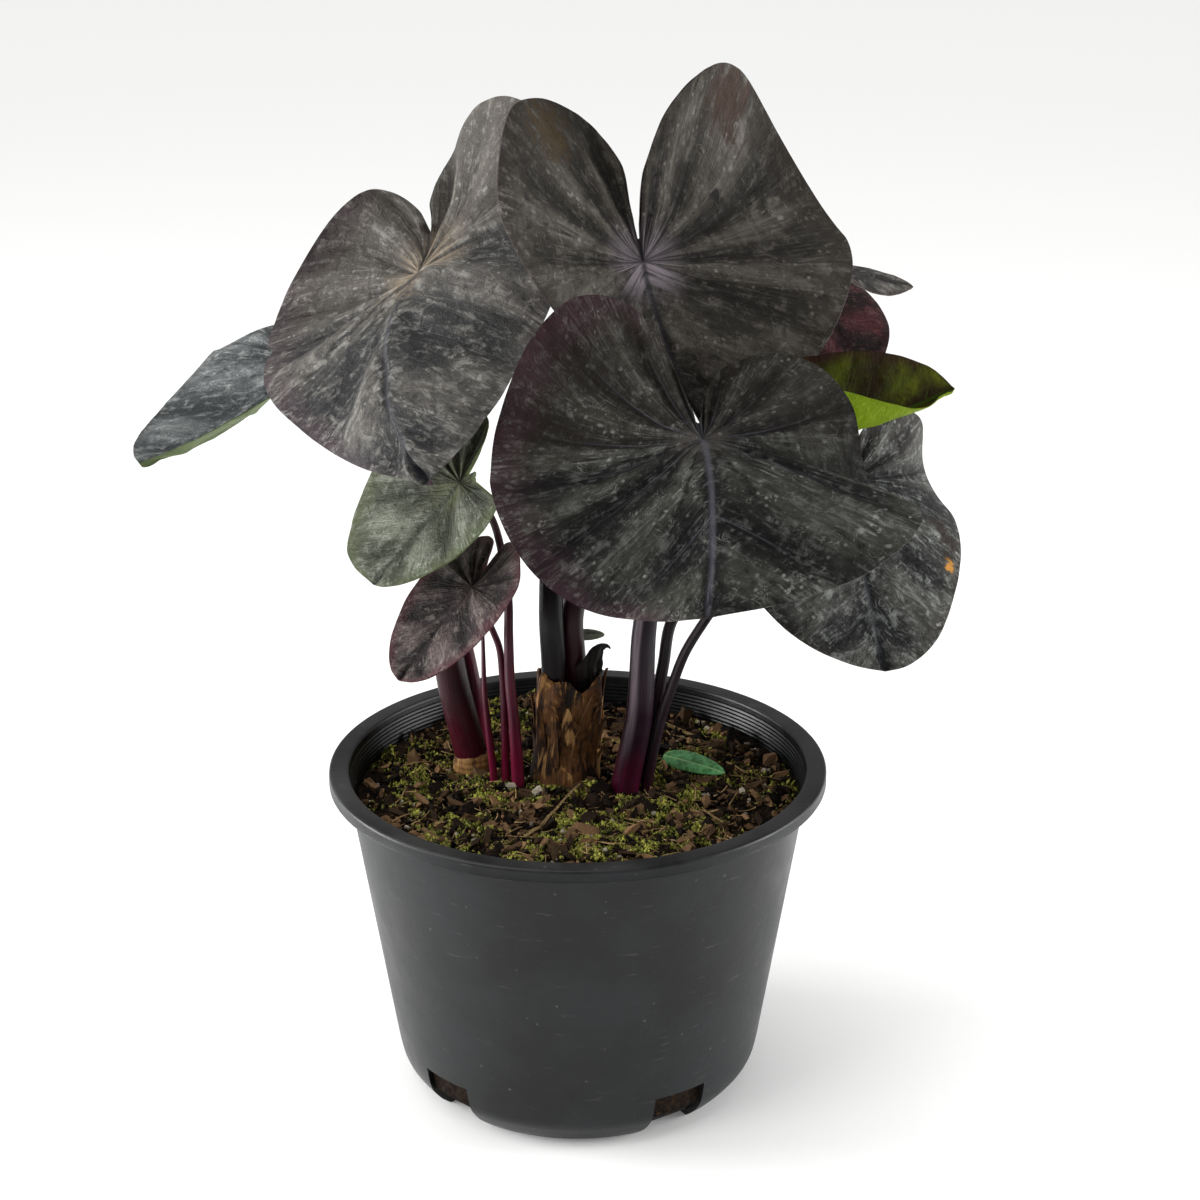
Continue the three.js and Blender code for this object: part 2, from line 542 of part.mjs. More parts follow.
// Blade: a thin closed shell. Its rows run along the side veins, from the midrib to the margin, and
// rows on a vein alternate with rows on the swelling between two veins.
function buildBlade(leaf) {
  const small = leaf.tip < SMALL_LEAF_TIP;
  const rows = 2 * VEINS + 1;
  const columns = small ? [0, 0.2, 0.55, 1] : [0, 0.12, 0.35, 0.6, 0.82, 1];
  const flat = [];
  const numbers = new Map();
  const numberOf = (x, y, share, along) => {
    const key = `${x.toFixed(3)},${y.toFixed(3)}`;
    if (!numbers.has(key)) {
      numbers.set(key, flat.length);
      flat.push({ x, y, share, along });
    }
    return numbers.get(key);
  };
  const grids = [0, 1].map((side) => {
    const sign = side === 0 ? -1 : 1;
    return Array.from({ length: rows }, (_, row) => {
      const share = row / (rows - 1);
      const [outX, outY] = halfOutline(leaf, side, share);
      const root = veinRoot(leaf, share);
      return columns.map((along) => numberOf(sign * outX * along, lerp(root, outY, along), share, along));
    });
  });
  const tops = [];
  const bottoms = [];
  const matrix = leafMatrix(leaf);
  for (const { x, y, share, along } of flat) {
    const quilt = -leaf.quilt * Math.cos(2 * Math.PI * VEINS * share) * (4 * along * (1 - along)) ** 0.8;
    const ripple = leaf.wave * along ** 3 * Math.sin(2 * Math.PI * 2.5 * share + x / 30);
    const middle = surfacePoint(leaf, x, y, quilt + ripple);
    const normal = surfaceNormal(leaf, x, y);
    const rib = MIDRIB_DEPTH * (along === 0 ? 1 - 0.7 * Math.max(y / leaf.tip, 0) : 0);
    tops.push(middle.clone().addScaledVector(normal, BLADE_THICKNESS / 2).applyMatrix4(matrix));
    bottoms.push(middle.clone().addScaledVector(normal, -BLADE_THICKNESS / 2 - rib).applyMatrix4(matrix));
  }
  const corners = [];
  const below = flat.length;
  const face = (a, b, c, mirrored) => {
    if (a === b || b === c || c === a) return;
    corners.push(...(mirrored ? [a, c, b] : [a, b, c]));
  };
  grids.forEach((grid, side) => {
    const mirrored = side === 0;
    for (let row = 0; row + 1 < rows; row++) {
      for (let column = 0; column + 1 < columns.length; column++) {
        const [a, b] = [grid[row][column], grid[row + 1][column]];
        const [c, d] = [grid[row + 1][column + 1], grid[row][column + 1]];
        face(a, b, c, mirrored);
        face(a, c, d, mirrored);
        face(below + a, below + c, below + b, mirrored);
        face(below + a, below + d, below + c, mirrored);
      }
      const [near, far] = [grid[row].at(-1), grid[row + 1].at(-1)];
      face(near, far, below + far, mirrored);
      face(near, below + far, below + near, mirrored);
    }
  });
  addPiece(`leaf_${leaf.name}`, geometryFrom([...tops, ...bottoms], corners), "#41413f", 0.55);
}

// Where on the midrib the side vein begins that ends at this share of the outline.
function veinRoot(leaf, share) {
  const [leftX, leftY] = halfOutline(leaf, 0, share);
  const [rightX, rightY] = halfOutline(leaf, 1, share);
  const slope = 0.7;
  return 0.93 * Math.max(0, (leftY + rightY) / 2 - (slope * (leftX + rightX)) / 2);
}

// Points that a leaf's stem passes through: its own, then straight up to the underside of the blade.
function stemPath(leaf) {
  const matrix = leafMatrix(leaf);
  const normal = surfaceNormal(leaf, 0, 0).transformDirection(matrix);
  const top = new THREE.Vector3(...leaf.at);
  top.addScaledVector(normal, -(BLADE_THICKNESS / 2 + MIDRIB_DEPTH + 2 * GAP));
  const neck = top.clone().addScaledVector(normal, -9);
  return [...leaf.stem.via.map((point) => new THREE.Vector3(...point)), neck, top];
}

// Stem of one leaf, or the same stem grown by the clearance as a cutter for its hole.
function stemTube(leaf, margin) {
  const [foot, top] = leaf.stem.radii;
  const path = stemPath(leaf);
  path[0].z -= margin;
  return taperedTube(path, foot + margin, top + margin, leaf.stem.taper, 8, 16);
}

// Dried sheath: the black, withered base of an old leaf, broad and flat where it stands in the centre
// stub, narrowing upwards into a tip that hooks over to the right.
function sheathSolid(margin) {
  const rings = [
    [13.4, 184.9, 0.5, 0.5, 105],
    [12, 186.2, 1, 0.7, 75],
    [9.6, 186.4, 2, 0.9, 40],
    [7.6, 184.2, 3.2, 1.1, 12],
    [5.9, 181, 4.6, 1.3, 3],
    [4.5, 177.6, 6, 1.4, 0],
    [4.3, 173, 4.7, 1.3, 0],
    [4.2, 163 - margin, 4, 1.1, 0],
  ];
  const columns = 10;
  const facing = new THREE.Vector3(Math.cos(degToRad(26)), Math.sin(degToRad(26)), 0);
  const outward = new THREE.Vector3(-facing.y, facing.x, 0);
  const centreOf = ([x, z]) => new THREE.Vector3(x, 8.5 + 0.48 * (x - 4.5), z);
  const pointAt = (ring, column) => {
    const angle = (column / columns) * 2 * Math.PI;
    const [, , half, thick, lean] = rings[ring];
    const across = facing.clone().multiplyScalar(Math.cos(degToRad(lean)));
    across.z -= Math.sin(degToRad(lean));
    return centreOf(rings[ring])
      .addScaledVector(across, (half + margin) * Math.cos(angle))
      .addScaledVector(outward, (thick + margin) * Math.sin(angle));
  };
  const tip = centreOf(rings[0]).add(new THREE.Vector3(0.5, 0, -0.9));
  return solidOf(ringShell(tip, rings.length, columns, pointAt, centreOf(rings.at(-1))));
}

// Spear: a young leaf that is still rolled up, in the left cluster of thin stems.
function spearTube(margin) {
  const path = [
    [-34.8, 3, 104 - margin], [-34.9, 3, 130], [-37.2, 4, 155],
    [-38.3, 4.2, 169], [-38.6, 5, 189], [-39, 8, 206],
  ];
  const points = path.map((point) => new THREE.Vector3(...point));
  return taperedTube(points, 2 + margin, 0.5 + margin, 1.2, 8, 10);
}

// Sprout: a tiny grey-green leaf on a thin stem of its own, behind the centre stems.
function sproutSolid(margin) {
  const path = [[1.6, 22, 160 - margin], [1.6, 22, 178], [1, 22, 187.2]];
  const points = path.map((point) => new THREE.Vector3(...point));
  const stem = solidOf(taperedTube(points, 0.9 + margin, 0.7 + margin, 1, 6, 5));
  const place = new THREE.Matrix4().makeRotationX(degToRad(24)).setPosition(4.6, 22, 187.3);
  const blade = pointedBlade(13, 2.7, 0.8, 0, place);
  return stem.add(solidOf(blade));
}

// A thin pointed blade along X in its own frame: length, half width, thickness and sag at its ends.
function pointedBlade(length, half, thickness, sag, place) {
  const columns = 12;
  const pointAt = (ring, column) => {
    const angle = (column / columns) * 2 * Math.PI;
    const x = 0.5 * length * Math.cos(angle);
    const y = half * Math.sin(angle) * (1 - 0.25 * Math.cos(angle));
    const height = (-4 * sag * x * x) / length ** 2 + (ring === 0 ? thickness / 2 : -thickness / 2);
    return new THREE.Vector3(x, y, height).applyMatrix4(place);
  };
  const top = new THREE.Vector3(0, 0, thickness / 2).applyMatrix4(place);
  const bottom = new THREE.Vector3(0, 0, -thickness / 2).applyMatrix4(place);
  return ringShell(top, 2, columns, pointAt, bottom);
}

// Fallen green leaf: lies on the soil with its far edge raised.
function buildFallenLeaf() {
  const place = new THREE.Matrix4().makeRotationZ(degToRad(-36));
  place.multiply(new THREE.Matrix4().makeRotationX(degToRad(30)));
  place.setPosition(48.5, 17.5, SOIL_LEVEL + 5.1);
  addPiece("fallen_leaf", pointedBlade(31, 4.9, 0.8, 0.7, place), "#4c7a3a", 0.5);
}

const stemHoles = LEAVES.map((leaf) => solidOf(stemTube(leaf, GAP)));
const stubSockets = [...stemHoles, sheathSolid(GAP), sproutSolid(GAP)];
const soilHoles = [...stemHoles, stubSolid(GAP), bulbSolid(GAP), solidOf(spearTube(GAP))];

buildPot();
addCorm("corm_centre", stubSolid(0), stubSockets, "#6e4f2d");
addCorm("corm_left", bulbSolid(0), stemHoles, "#8a6a45");
buildSoil(soilHoles);
for (const leaf of LEAVES) {
  addPiece(`stem_${leaf.name}`, stemTube(leaf, 0), "#3a1420", 0.45);
  buildBlade(leaf);
}
addPiece("dried_sheath", geometryOf(sheathSolid(0)), "#1c1816", 0.8);
addPiece("spear", spearTube(0), "#4a1626", 0.45);
addPiece("sprout", geometryOf(sproutSolid(0)), "#5d6550", 0.5);
buildFallenLeaf();

export default plant;
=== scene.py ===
"""Potted black coral elephant ear: a nursery pot of potting mix with a clump of dark, heart-shaped leaves.

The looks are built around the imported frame. Sizes are in millimetres and turned to metres where a mesh is
made. The frame's origin is the centre of the pot's underside, +Z is up, and the plant's front faces -Y.
"""
from __future__ import annotations

import logging
from dataclasses import dataclass, field
from enum import Enum, IntEnum
from typing import Any, Sequence

import bpy
import numpy as np
from numpy.typing import NDArray
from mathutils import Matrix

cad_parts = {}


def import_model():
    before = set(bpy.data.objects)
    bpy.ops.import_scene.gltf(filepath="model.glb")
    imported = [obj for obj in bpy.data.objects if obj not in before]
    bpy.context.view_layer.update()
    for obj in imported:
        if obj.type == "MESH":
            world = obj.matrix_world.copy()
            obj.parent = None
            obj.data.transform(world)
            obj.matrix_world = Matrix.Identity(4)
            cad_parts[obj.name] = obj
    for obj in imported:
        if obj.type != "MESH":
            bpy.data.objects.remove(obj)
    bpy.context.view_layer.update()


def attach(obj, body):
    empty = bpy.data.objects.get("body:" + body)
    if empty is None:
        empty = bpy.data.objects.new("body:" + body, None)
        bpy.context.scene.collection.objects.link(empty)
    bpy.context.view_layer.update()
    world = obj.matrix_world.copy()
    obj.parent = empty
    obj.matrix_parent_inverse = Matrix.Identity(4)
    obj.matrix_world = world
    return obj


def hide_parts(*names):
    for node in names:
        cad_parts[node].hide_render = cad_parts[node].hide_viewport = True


log = logging.getLogger("elephant_ear")

Array = NDArray[np.float64]
MM = 0.001
BODY = "root"
# Skin, husk and crumbs stay smooth over edges that turn by less than this many degrees
SKIN_ANGLE = 80.0


class Seed(IntEnum):
    """Which set of random numbers each use draws."""

    HUSK_FIBRES = 5
    HUSK_DENTS = 6
    LARGE_CRUMBS = 31
    MIDDLE_CRUMBS = 32
    SMALL_CRUMBS = 33
    MOSS_PATCHES = 41
    MOSS_TUFTS = 42
    CHIPS = 51
    MOSS = 61
    MOSS_LIGHT = 62
    GRIT = 71
    FIBRES = 81
    FLAPS = 91


# ---- Meshes and fields


def smooth_step(value: Array, low: float, high: float) -> Array:
    """3t^2 - 2t^3 of the value's share of the way from low to high, held at 0 and 1 outside."""
    t = np.clip((np.asarray(value, float) - low) / (high - low), 0.0, 1.0)
    return t * t * (3.0 - 2.0 * t)


def lattice_noise(x: Array, y: Array, cell: float, seed: int) -> Array:
    """Smooth random values from -1 to 1 over a plane.

    Random numbers stand on a square lattice, and each point blends its cell's four corners with a
    smooth step.

    Args:
        x: First coordinate of each point.
        y: Second coordinate of each point.
        cell: Side of a lattice cell, in the points' own unit.
        seed: Picks the set of random numbers.

    Returns:
        One value for each point.
    """
    table = np.random.default_rng(seed).uniform(-1.0, 1.0, (256, 256))
    gx, gy = np.asarray(x, float) / cell, np.asarray(y, float) / cell
    ix, iy = np.floor(gx).astype(int), np.floor(gy).astype(int)
    fx, fy = gx - ix, gy - iy
    fx, fy = fx * fx * (3.0 - 2.0 * fx), fy * fy * (3.0 - 2.0 * fy)
    ix, iy = ix & 255, iy & 255
    jx, jy = (ix + 1) & 255, (iy + 1) & 255
    low = table[ix, iy] * (1.0 - fx) + table[jx, iy] * fx
    high = table[ix, jy] * (1.0 - fx) + table[jx, jy] * fx
    return low * (1.0 - fy) + high * fy


def spline_through(points: Array, samples: int) -> Array:
    """Points on a centripetal Catmull-Rom curve through the given ones, evenly spread over its spans.

    Each span is a cubic whose end slopes come from the neighbours, weighed by the square roots of the
    distances between them, so that the curve never loops between near points.

    Args:
        points: Rows of coordinates that the curve passes through.
        samples: How many points to return.

    Returns:
        Rows of coordinates from the first point to the last.
    """
    points = np.asarray(points, float)
    last = len(points) - 2
    place = np.linspace(0.0, len(points) - 1.0, samples)
    span = np.minimum(place.astype(int), last)
    t = (place - span)[:, None]
    full = np.vstack([2 * points[0] - points[1], points, 2 * points[-1] - points[-2]])
    p0, p1, p2, p3 = full[span], full[span + 1], full[span + 2], full[span + 3]
    root = lambda a, b: np.sqrt(np.linalg.norm(a - b, axis=1))[:, None]
    d1 = np.maximum(root(p1, p2), 1e-4)
    d0 = np.where(root(p0, p1) < 1e-4, d1, root(p0, p1))
    d2 = np.where(root(p2, p3) < 1e-4, d1, root(p2, p3))
    m1 = ((p1 - p0) / d0 - (p2 - p0) / (d0 + d1) + (p2 - p1) / d1) * d1
    m2 = ((p2 - p1) / d1 - (p3 - p1) / (d1 + d2) + (p3 - p2) / d2) * d1
    c2 = -3 * p1 + 3 * p2 - 2 * m1 - m2
    c3 = 2 * p1 - 2 * p2 + m1 + m2
    return p1 + m1 * t + c2 * t**2 + c3 * t**3


def even_steps(points: Array, samples: int) -> Array:
    """The same path with its points at equal distances along it."""
    walked = walked_along(points)
    wanted = np.linspace(0.0, walked[-1], samples)
    return np.stack([np.interp(wanted, walked, points[:, k]) for k in range(points.shape[1])], axis=1)


def grid_quads(rows: int, columns: int, wrap: bool) -> NDArray[np.int64]:
    """Corner numbers of the quads between neighbours in a grid; wrap joins its last column to its first."""
    number = np.arange(rows * columns).reshape(rows, columns)
    if wrap:
        number = np.hstack([number, number[:, :1]])
    a, b, c, d = number[:-1, :-1], number[1:, :-1], number[1:, 1:], number[:-1, 1:]
    return np.stack([a, b, c, d], axis=-1).reshape(-1, 4)


def has_area(faces: NDArray[np.int64]) -> NDArray[np.bool_]:
    """Whether each triangle has three different corners."""
    return (faces != np.roll(faces, -1, axis=1)).all(axis=1)


def walked_along(path: Array) -> Array:
    """Distance walked along a path at each of its points."""
    return np.r_[0.0, np.cumsum(np.linalg.norm(np.diff(path, axis=0), axis=1))]


def full_turn(count: int) -> Array:
    """Angles evenly spread over a full turn, the last one short of the first."""
    return np.linspace(0.0, 2 * np.pi, count, endpoint=False)


@dataclass
class Surface:
    """Vertices in millimetres, faces of one corner count, and values at the faces' corners."""

    vertices: Array
    faces: NDArray[np.int64]
    uv_maps: dict[str, Array] = field(default_factory=dict)
    corner_values: dict[str, Array] = field(default_factory=dict)

    def to_object(self, name: str, finish: bpy.types.Material, sharp_angle: float = 50.0) -> bpy.types.Object:
        """Makes the mesh object, smooth shaded but for edges sharper than the angle.

        Args:
            name: Name of the piece.
            finish: Its material.
            sharp_angle: Edges that turn by more than this many degrees stay crisp.

        Returns:
            The object, at the origin, with its place in its mesh.
        """
        count, corners = self.faces.shape
        mesh = bpy.data.meshes.new(name)
        mesh.vertices.add(len(self.vertices))
        mesh.vertices.foreach_set("co", (self.vertices * MM).astype(np.float32).ravel())
        mesh.loops.add(count * corners)
        mesh.loops.foreach_set("vertex_index", self.faces.astype(np.int32).ravel())
        mesh.polygons.add(count)
        mesh.polygons.foreach_set("loop_start", np.arange(0, count * corners, corners, dtype=np.int32))
        mesh.polygons.foreach_set("use_smooth", np.ones(count, bool))
        for label, values in self.uv_maps.items():
            layer = mesh.uv_layers.new(name=label)
            layer.data.foreach_set("uv", values.astype(np.float32).ravel())
        for label, values in self.corner_values.items():
            layer = mesh.attributes.new(label, "FLOAT", "CORNER")
            layer.data.foreach_set("value", values.astype(np.float32).ravel())
        mesh.update(calc_edges=True)
        mesh.set_sharp_from_angle(angle=np.radians(sharp_angle))
        mesh.materials.append(finish)
        piece = bpy.data.objects.new(name, mesh)
        bpy.context.scene.collection.objects.link(piece)
        return piece


def tube_surface(path: Array, radii: Array, sides: int, section: Array | None = None) -> Surface:
    """A closed tube along a path.

    Each ring lies square to the path. Its first direction is the world's Y made square to the path, so
    rings never twist. The two ends close on a point at the centre of the end ring.

    Args:
        path: Points of the centre line, evenly spaced.
        radii: Radius at each point.
        sides: Points in a ring.
        section: Optional factor on the radius for each point and side.

    Returns:
        The surface, with a UV map "stem" of the distance along in metres and the share around.
    """
    tangent = np.gradient(path, axis=0)
    tangent /= np.linalg.norm(tangent, axis=1)[:, None]
    reference = np.array([0.0, 1.0, 0.0])
    first = reference - tangent * (tangent @ reference)[:, None]
    first /= np.linalg.norm(first, axis=1)[:, None]
    second = np.cross(tangent, first)
    turn = full_turn(sides)
    reach = radii[:, None] * (np.ones((len(path), sides)) if section is None else section)
    ring = first[:, None] * np.cos(turn)[None, :, None] + second[:, None] * np.sin(turn)[None, :, None]
    rings = path[:, None] + ring * reach[..., None]
    pole = lambda k: np.repeat(path[k][None, None], sides, axis=1)
    points = np.concatenate([pole(0), rings, pole(-1)])
    rows = len(points)
    walked = walked_along(path) * MM
    along = np.r_[0.0, walked, walked[-1]]
    u = np.repeat(along[:, None], sides + 1, axis=1)
    v = np.repeat(np.linspace(0.0, 1.0, sides + 1)[None], rows, axis=0)
    return closed_grid(points, {"stem": np.stack([u, v], axis=-1)})


def closed_grid(points: Array, uv_grids: dict[str, Array]) -> Surface:
    """A surface from a grid whose columns wrap and whose first and last rows are poles.

    Every quad is cut into two triangles and those with no area at the poles are dropped.

    Args:
        points: Grid of shape (rows, columns, 3), wound counter-clockwise as seen from its last row's side.
        uv_grids: UV grids of shape (rows, columns + 1, 2).

    Returns:
        The closed surface.
    """
    rows, columns, _ = points.shape
    quads = grid_quads(rows, columns, wrap=True)
    uv_quads = grid_quads(rows, columns + 1, wrap=False)
    order = np.array([[0, 2, 1], [0, 3, 2]])
    faces = quads[:, order].reshape(-1, 3)
    uv_faces = uv_quads[:, order].reshape(-1, 3)
    number = np.arange(rows * columns)
    number[:columns] = 0
    number[-columns:] = (rows - 1) * columns
    faces = number[faces]
    keep = has_area(faces)
    faces, uv_faces = faces[keep], uv_faces[keep]
    used, faces = np.unique(faces, return_inverse=True)
    maps = {label: grid.reshape(-1, 2)[uv_faces].reshape(-1, 2) for label, grid in uv_grids.items()}
    return Surface(points.reshape(-1, 3)[used], faces.reshape(-1, 3), maps)


def add_piece(surface: Surface, name: str, finish: bpy.types.Material, nodes: Sequence[str] = (),
              sharp_angle: float = 50.0) -> bpy.types.Object:
    """Makes a piece of the plant, rides it on the frame, hides the frame nodes that it replaces and logs its
    triangle count.

    Args:
        surface: Its mesh.
        name: Its name.
        finish: Its material.
        nodes: Frame nodes that it replaces.
        sharp_angle: Edges that turn by more than this many degrees stay crisp.

    Returns:
        The object.
    """
    piece = surface.to_object(name, finish, sharp_angle)
    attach(piece, BODY)
    if nodes:
        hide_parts(*nodes)
    log.info("%s: %d triangles", name, len(surface.faces) * (surface.faces.shape[1] - 2))
    return piece


# ---- Material helpers


def linear(code: str) -> tuple[float, float, float, float]:
    """Turns an sRGB hex colour such as "#8a6a45" to linear red, green, blue and alpha."""
    parts = [int(code[k:k + 2], 16) / 255 for k in (1, 3, 5)]
    red, green, blue = [p / 12.92 if p <= 0.04045 else ((p + 0.055) / 1.055) ** 2.4 for p in parts]
    return red, green, blue, 1.0


def add_node(tree: bpy.types.NodeTree, kind: str, inputs: dict[Any, Any] | None = None,
             **settings: Any) -> bpy.types.Node:
    """Adds a node with its settings, and sets or links its inputs.

    Args:
        tree: Node tree of the material.
        kind: Node type's name after "ShaderNode".
        inputs: Input name or number to a value, or to the output socket that feeds it.
        settings: Properties of the node.

    Returns:
        The node.
    """
    node = tree.nodes.new("ShaderNode" + kind)
    for label, value in settings.items():
        setattr(node, label, value)
    for label, value in (inputs or {}).items():
        if isinstance(value, bpy.types.NodeSocket):
            tree.links.new(value, node.inputs[label])
        else:
            node.inputs[label].default_value = value
    return node


class Patterns:
    """The patterns of one material, as outputs of nodes in its tree."""

    def __init__(self, name: str) -> None:
        """Starts an empty material that holds one principled shader."""
        self.material = bpy.data.materials.new(name)
        self.material.use_nodes = True
        self.tree = self.material.node_tree
        self.tree.nodes.clear()
        self.shader = add_node(self.tree, "BsdfPrincipled")
        output = add_node(self.tree, "OutputMaterial", {"Surface": self.shader.outputs[0]})
        output.location = (400, 0)

    def place(self) -> Any:
        """Place in the plant, in metres."""
        return add_node(self.tree, "TexCoord").outputs["Object"]

    def uv(self, label: str) -> Any:
        """A UV map of the piece."""
        return add_node(self.tree, "UVMap", uv_map=label).outputs[0]

    def value(self, label: str) -> Any:
        """A value stored at the mesh's corners."""
        return add_node(self.tree, "Attribute", attribute_name=label).outputs["Fac"]

    def split(self, vector: Any) -> tuple[Any, Any, Any]:
        """The three parts of a vector."""
        outputs = add_node(self.tree, "SeparateXYZ", {0: vector}).outputs
        return outputs[0], outputs[1], outputs[2]

    def math(self, operation: str, first: Any, second: Any = 0.0, clamp: bool = False) -> Any:
        """A sum, product or other function of one or two numbers."""
        inputs = {0: first, 1: second}
        return add_node(self.tree, "Math", inputs, operation=operation, use_clamp=clamp).outputs[0]

    def scaled(self, vector: Any, scale: tuple[float, float, float]) -> Any:
        """A vector stretched along each axis."""
        return add_node(self.tree, "Mapping", {"Vector": vector, "Scale": scale}).outputs[0]

    def ramp(self, value: Any, low: float, high: float, start: float = 0.0, end: float = 1.0) -> Any:
        """A smooth step from start to end as the value goes from low to high."""
        inputs = {"Value": value, "From Min": low, "From Max": high, "To Min": start, "To Max": end}
        return add_node(self.tree, "MapRange", inputs, interpolation_type="SMOOTHSTEP").outputs[0]

    def noise(self, vector: Any, scale: float, detail: float = 4.0, roughness: float = 0.55,
              distortion: float = 0.0) -> Any:
        """Cloudy noise from about 0.25 to 0.75."""
        inputs = {"Vector": vector, "Scale": scale, "Detail": detail, "Roughness": roughness,
                  "Distortion": distortion}
        return add_node(self.tree, "TexNoise", inputs).outputs[0]

    def cells(self, vector: Any, scale: float) -> tuple[Any, Any]:
        """Distance to the nearest cell point, and the cell's random colour."""
        node = add_node(self.tree, "TexVoronoi", {"Vector": vector, "Scale": scale})
        return node.outputs["Distance"], node.outputs["Color"]

    def mix(self, share: Any, base: Any, top: Any) -> Any:
        """One colour over another by a share."""
        return add_node(self.tree, "Mix", {0: share, 6: base, 7: top}, data_type="RGBA").outputs[2]

    def bump(self, height: Any, distance: float, strength: float = 1.0, under: Any = None) -> Any:
        """A normal from a height map whose full range is the distance, in metres."""
        inputs = {"Height": height, "Distance": distance, "Strength": strength}
        if under is not None:
            inputs["Normal"] = under
        return add_node(self.tree, "Bump", inputs).outputs[0]

    def finish(self, colour: Any, roughness: Any, normal: Any = None,
               **constants: float) -> bpy.types.Material:
        """Feeds the shader and returns the material; constants name the shader's own sockets."""
        self.tree.links.new(colour, self.shader.inputs["Base Color"])
        if isinstance(roughness, float):
            self.shader.inputs["Roughness"].default_value = roughness
        else:
            self.tree.links.new(roughness, self.shader.inputs["Roughness"])
        if normal is not None:
            self.tree.links.new(normal, self.shader.inputs["Normal"])
        for label, number in constants.items():
            self.shader.inputs[label.replace("_", " ")].default_value = number
        return self.material


# ---- Leaf blades

VEINS = 8
BLADE_THICKNESS = 0.9
MARGIN_THICKNESS = 0.6
MIDRIB_DEPTH = 1.1
STEM_GAP = 0.35
# Leaves with a tip shorter than this get the coarser mesh
SMALL_TIP = 70
# A stem runs straight for its last part, then into the blade: rise above its end, and depth below the middle
NECK_LENGTH = 9
NECK_RISE = 0.9
NECK_END = 0.3
# Side veins leave the midrib at this slope, from this share of the way that the slope alone would give
VEIN_SLOPE = 0.7
VEIN_ROOT = 0.93
# Steps over which the bend of a half blade is summed, and half the step of its normal's differences
BEND_STEPS = 24
NORMAL_STEP = 0.4
FRONT_OUTLINE = ((0, 1), (0.1, 0.945), (0.34, 0.8), (0.66, 0.53),
                 (0.91, 0.2), (1, -0.14), (0.95, -0.5), (0.76, -0.84))
BLUNT_TIP = ((0, 0.93), (0.2, 0.905), (0.45, 0.79), (0.7, 0.53))
OPEN_LOBE = ((0.5, -1), (0.25, -0.93), (0.1, -0.68), (0.035, -0.4))
SHUT_LOBE = ((0.42, -1), (0.15, -0.95), (0.03, -0.66), (0.015, -0.36))


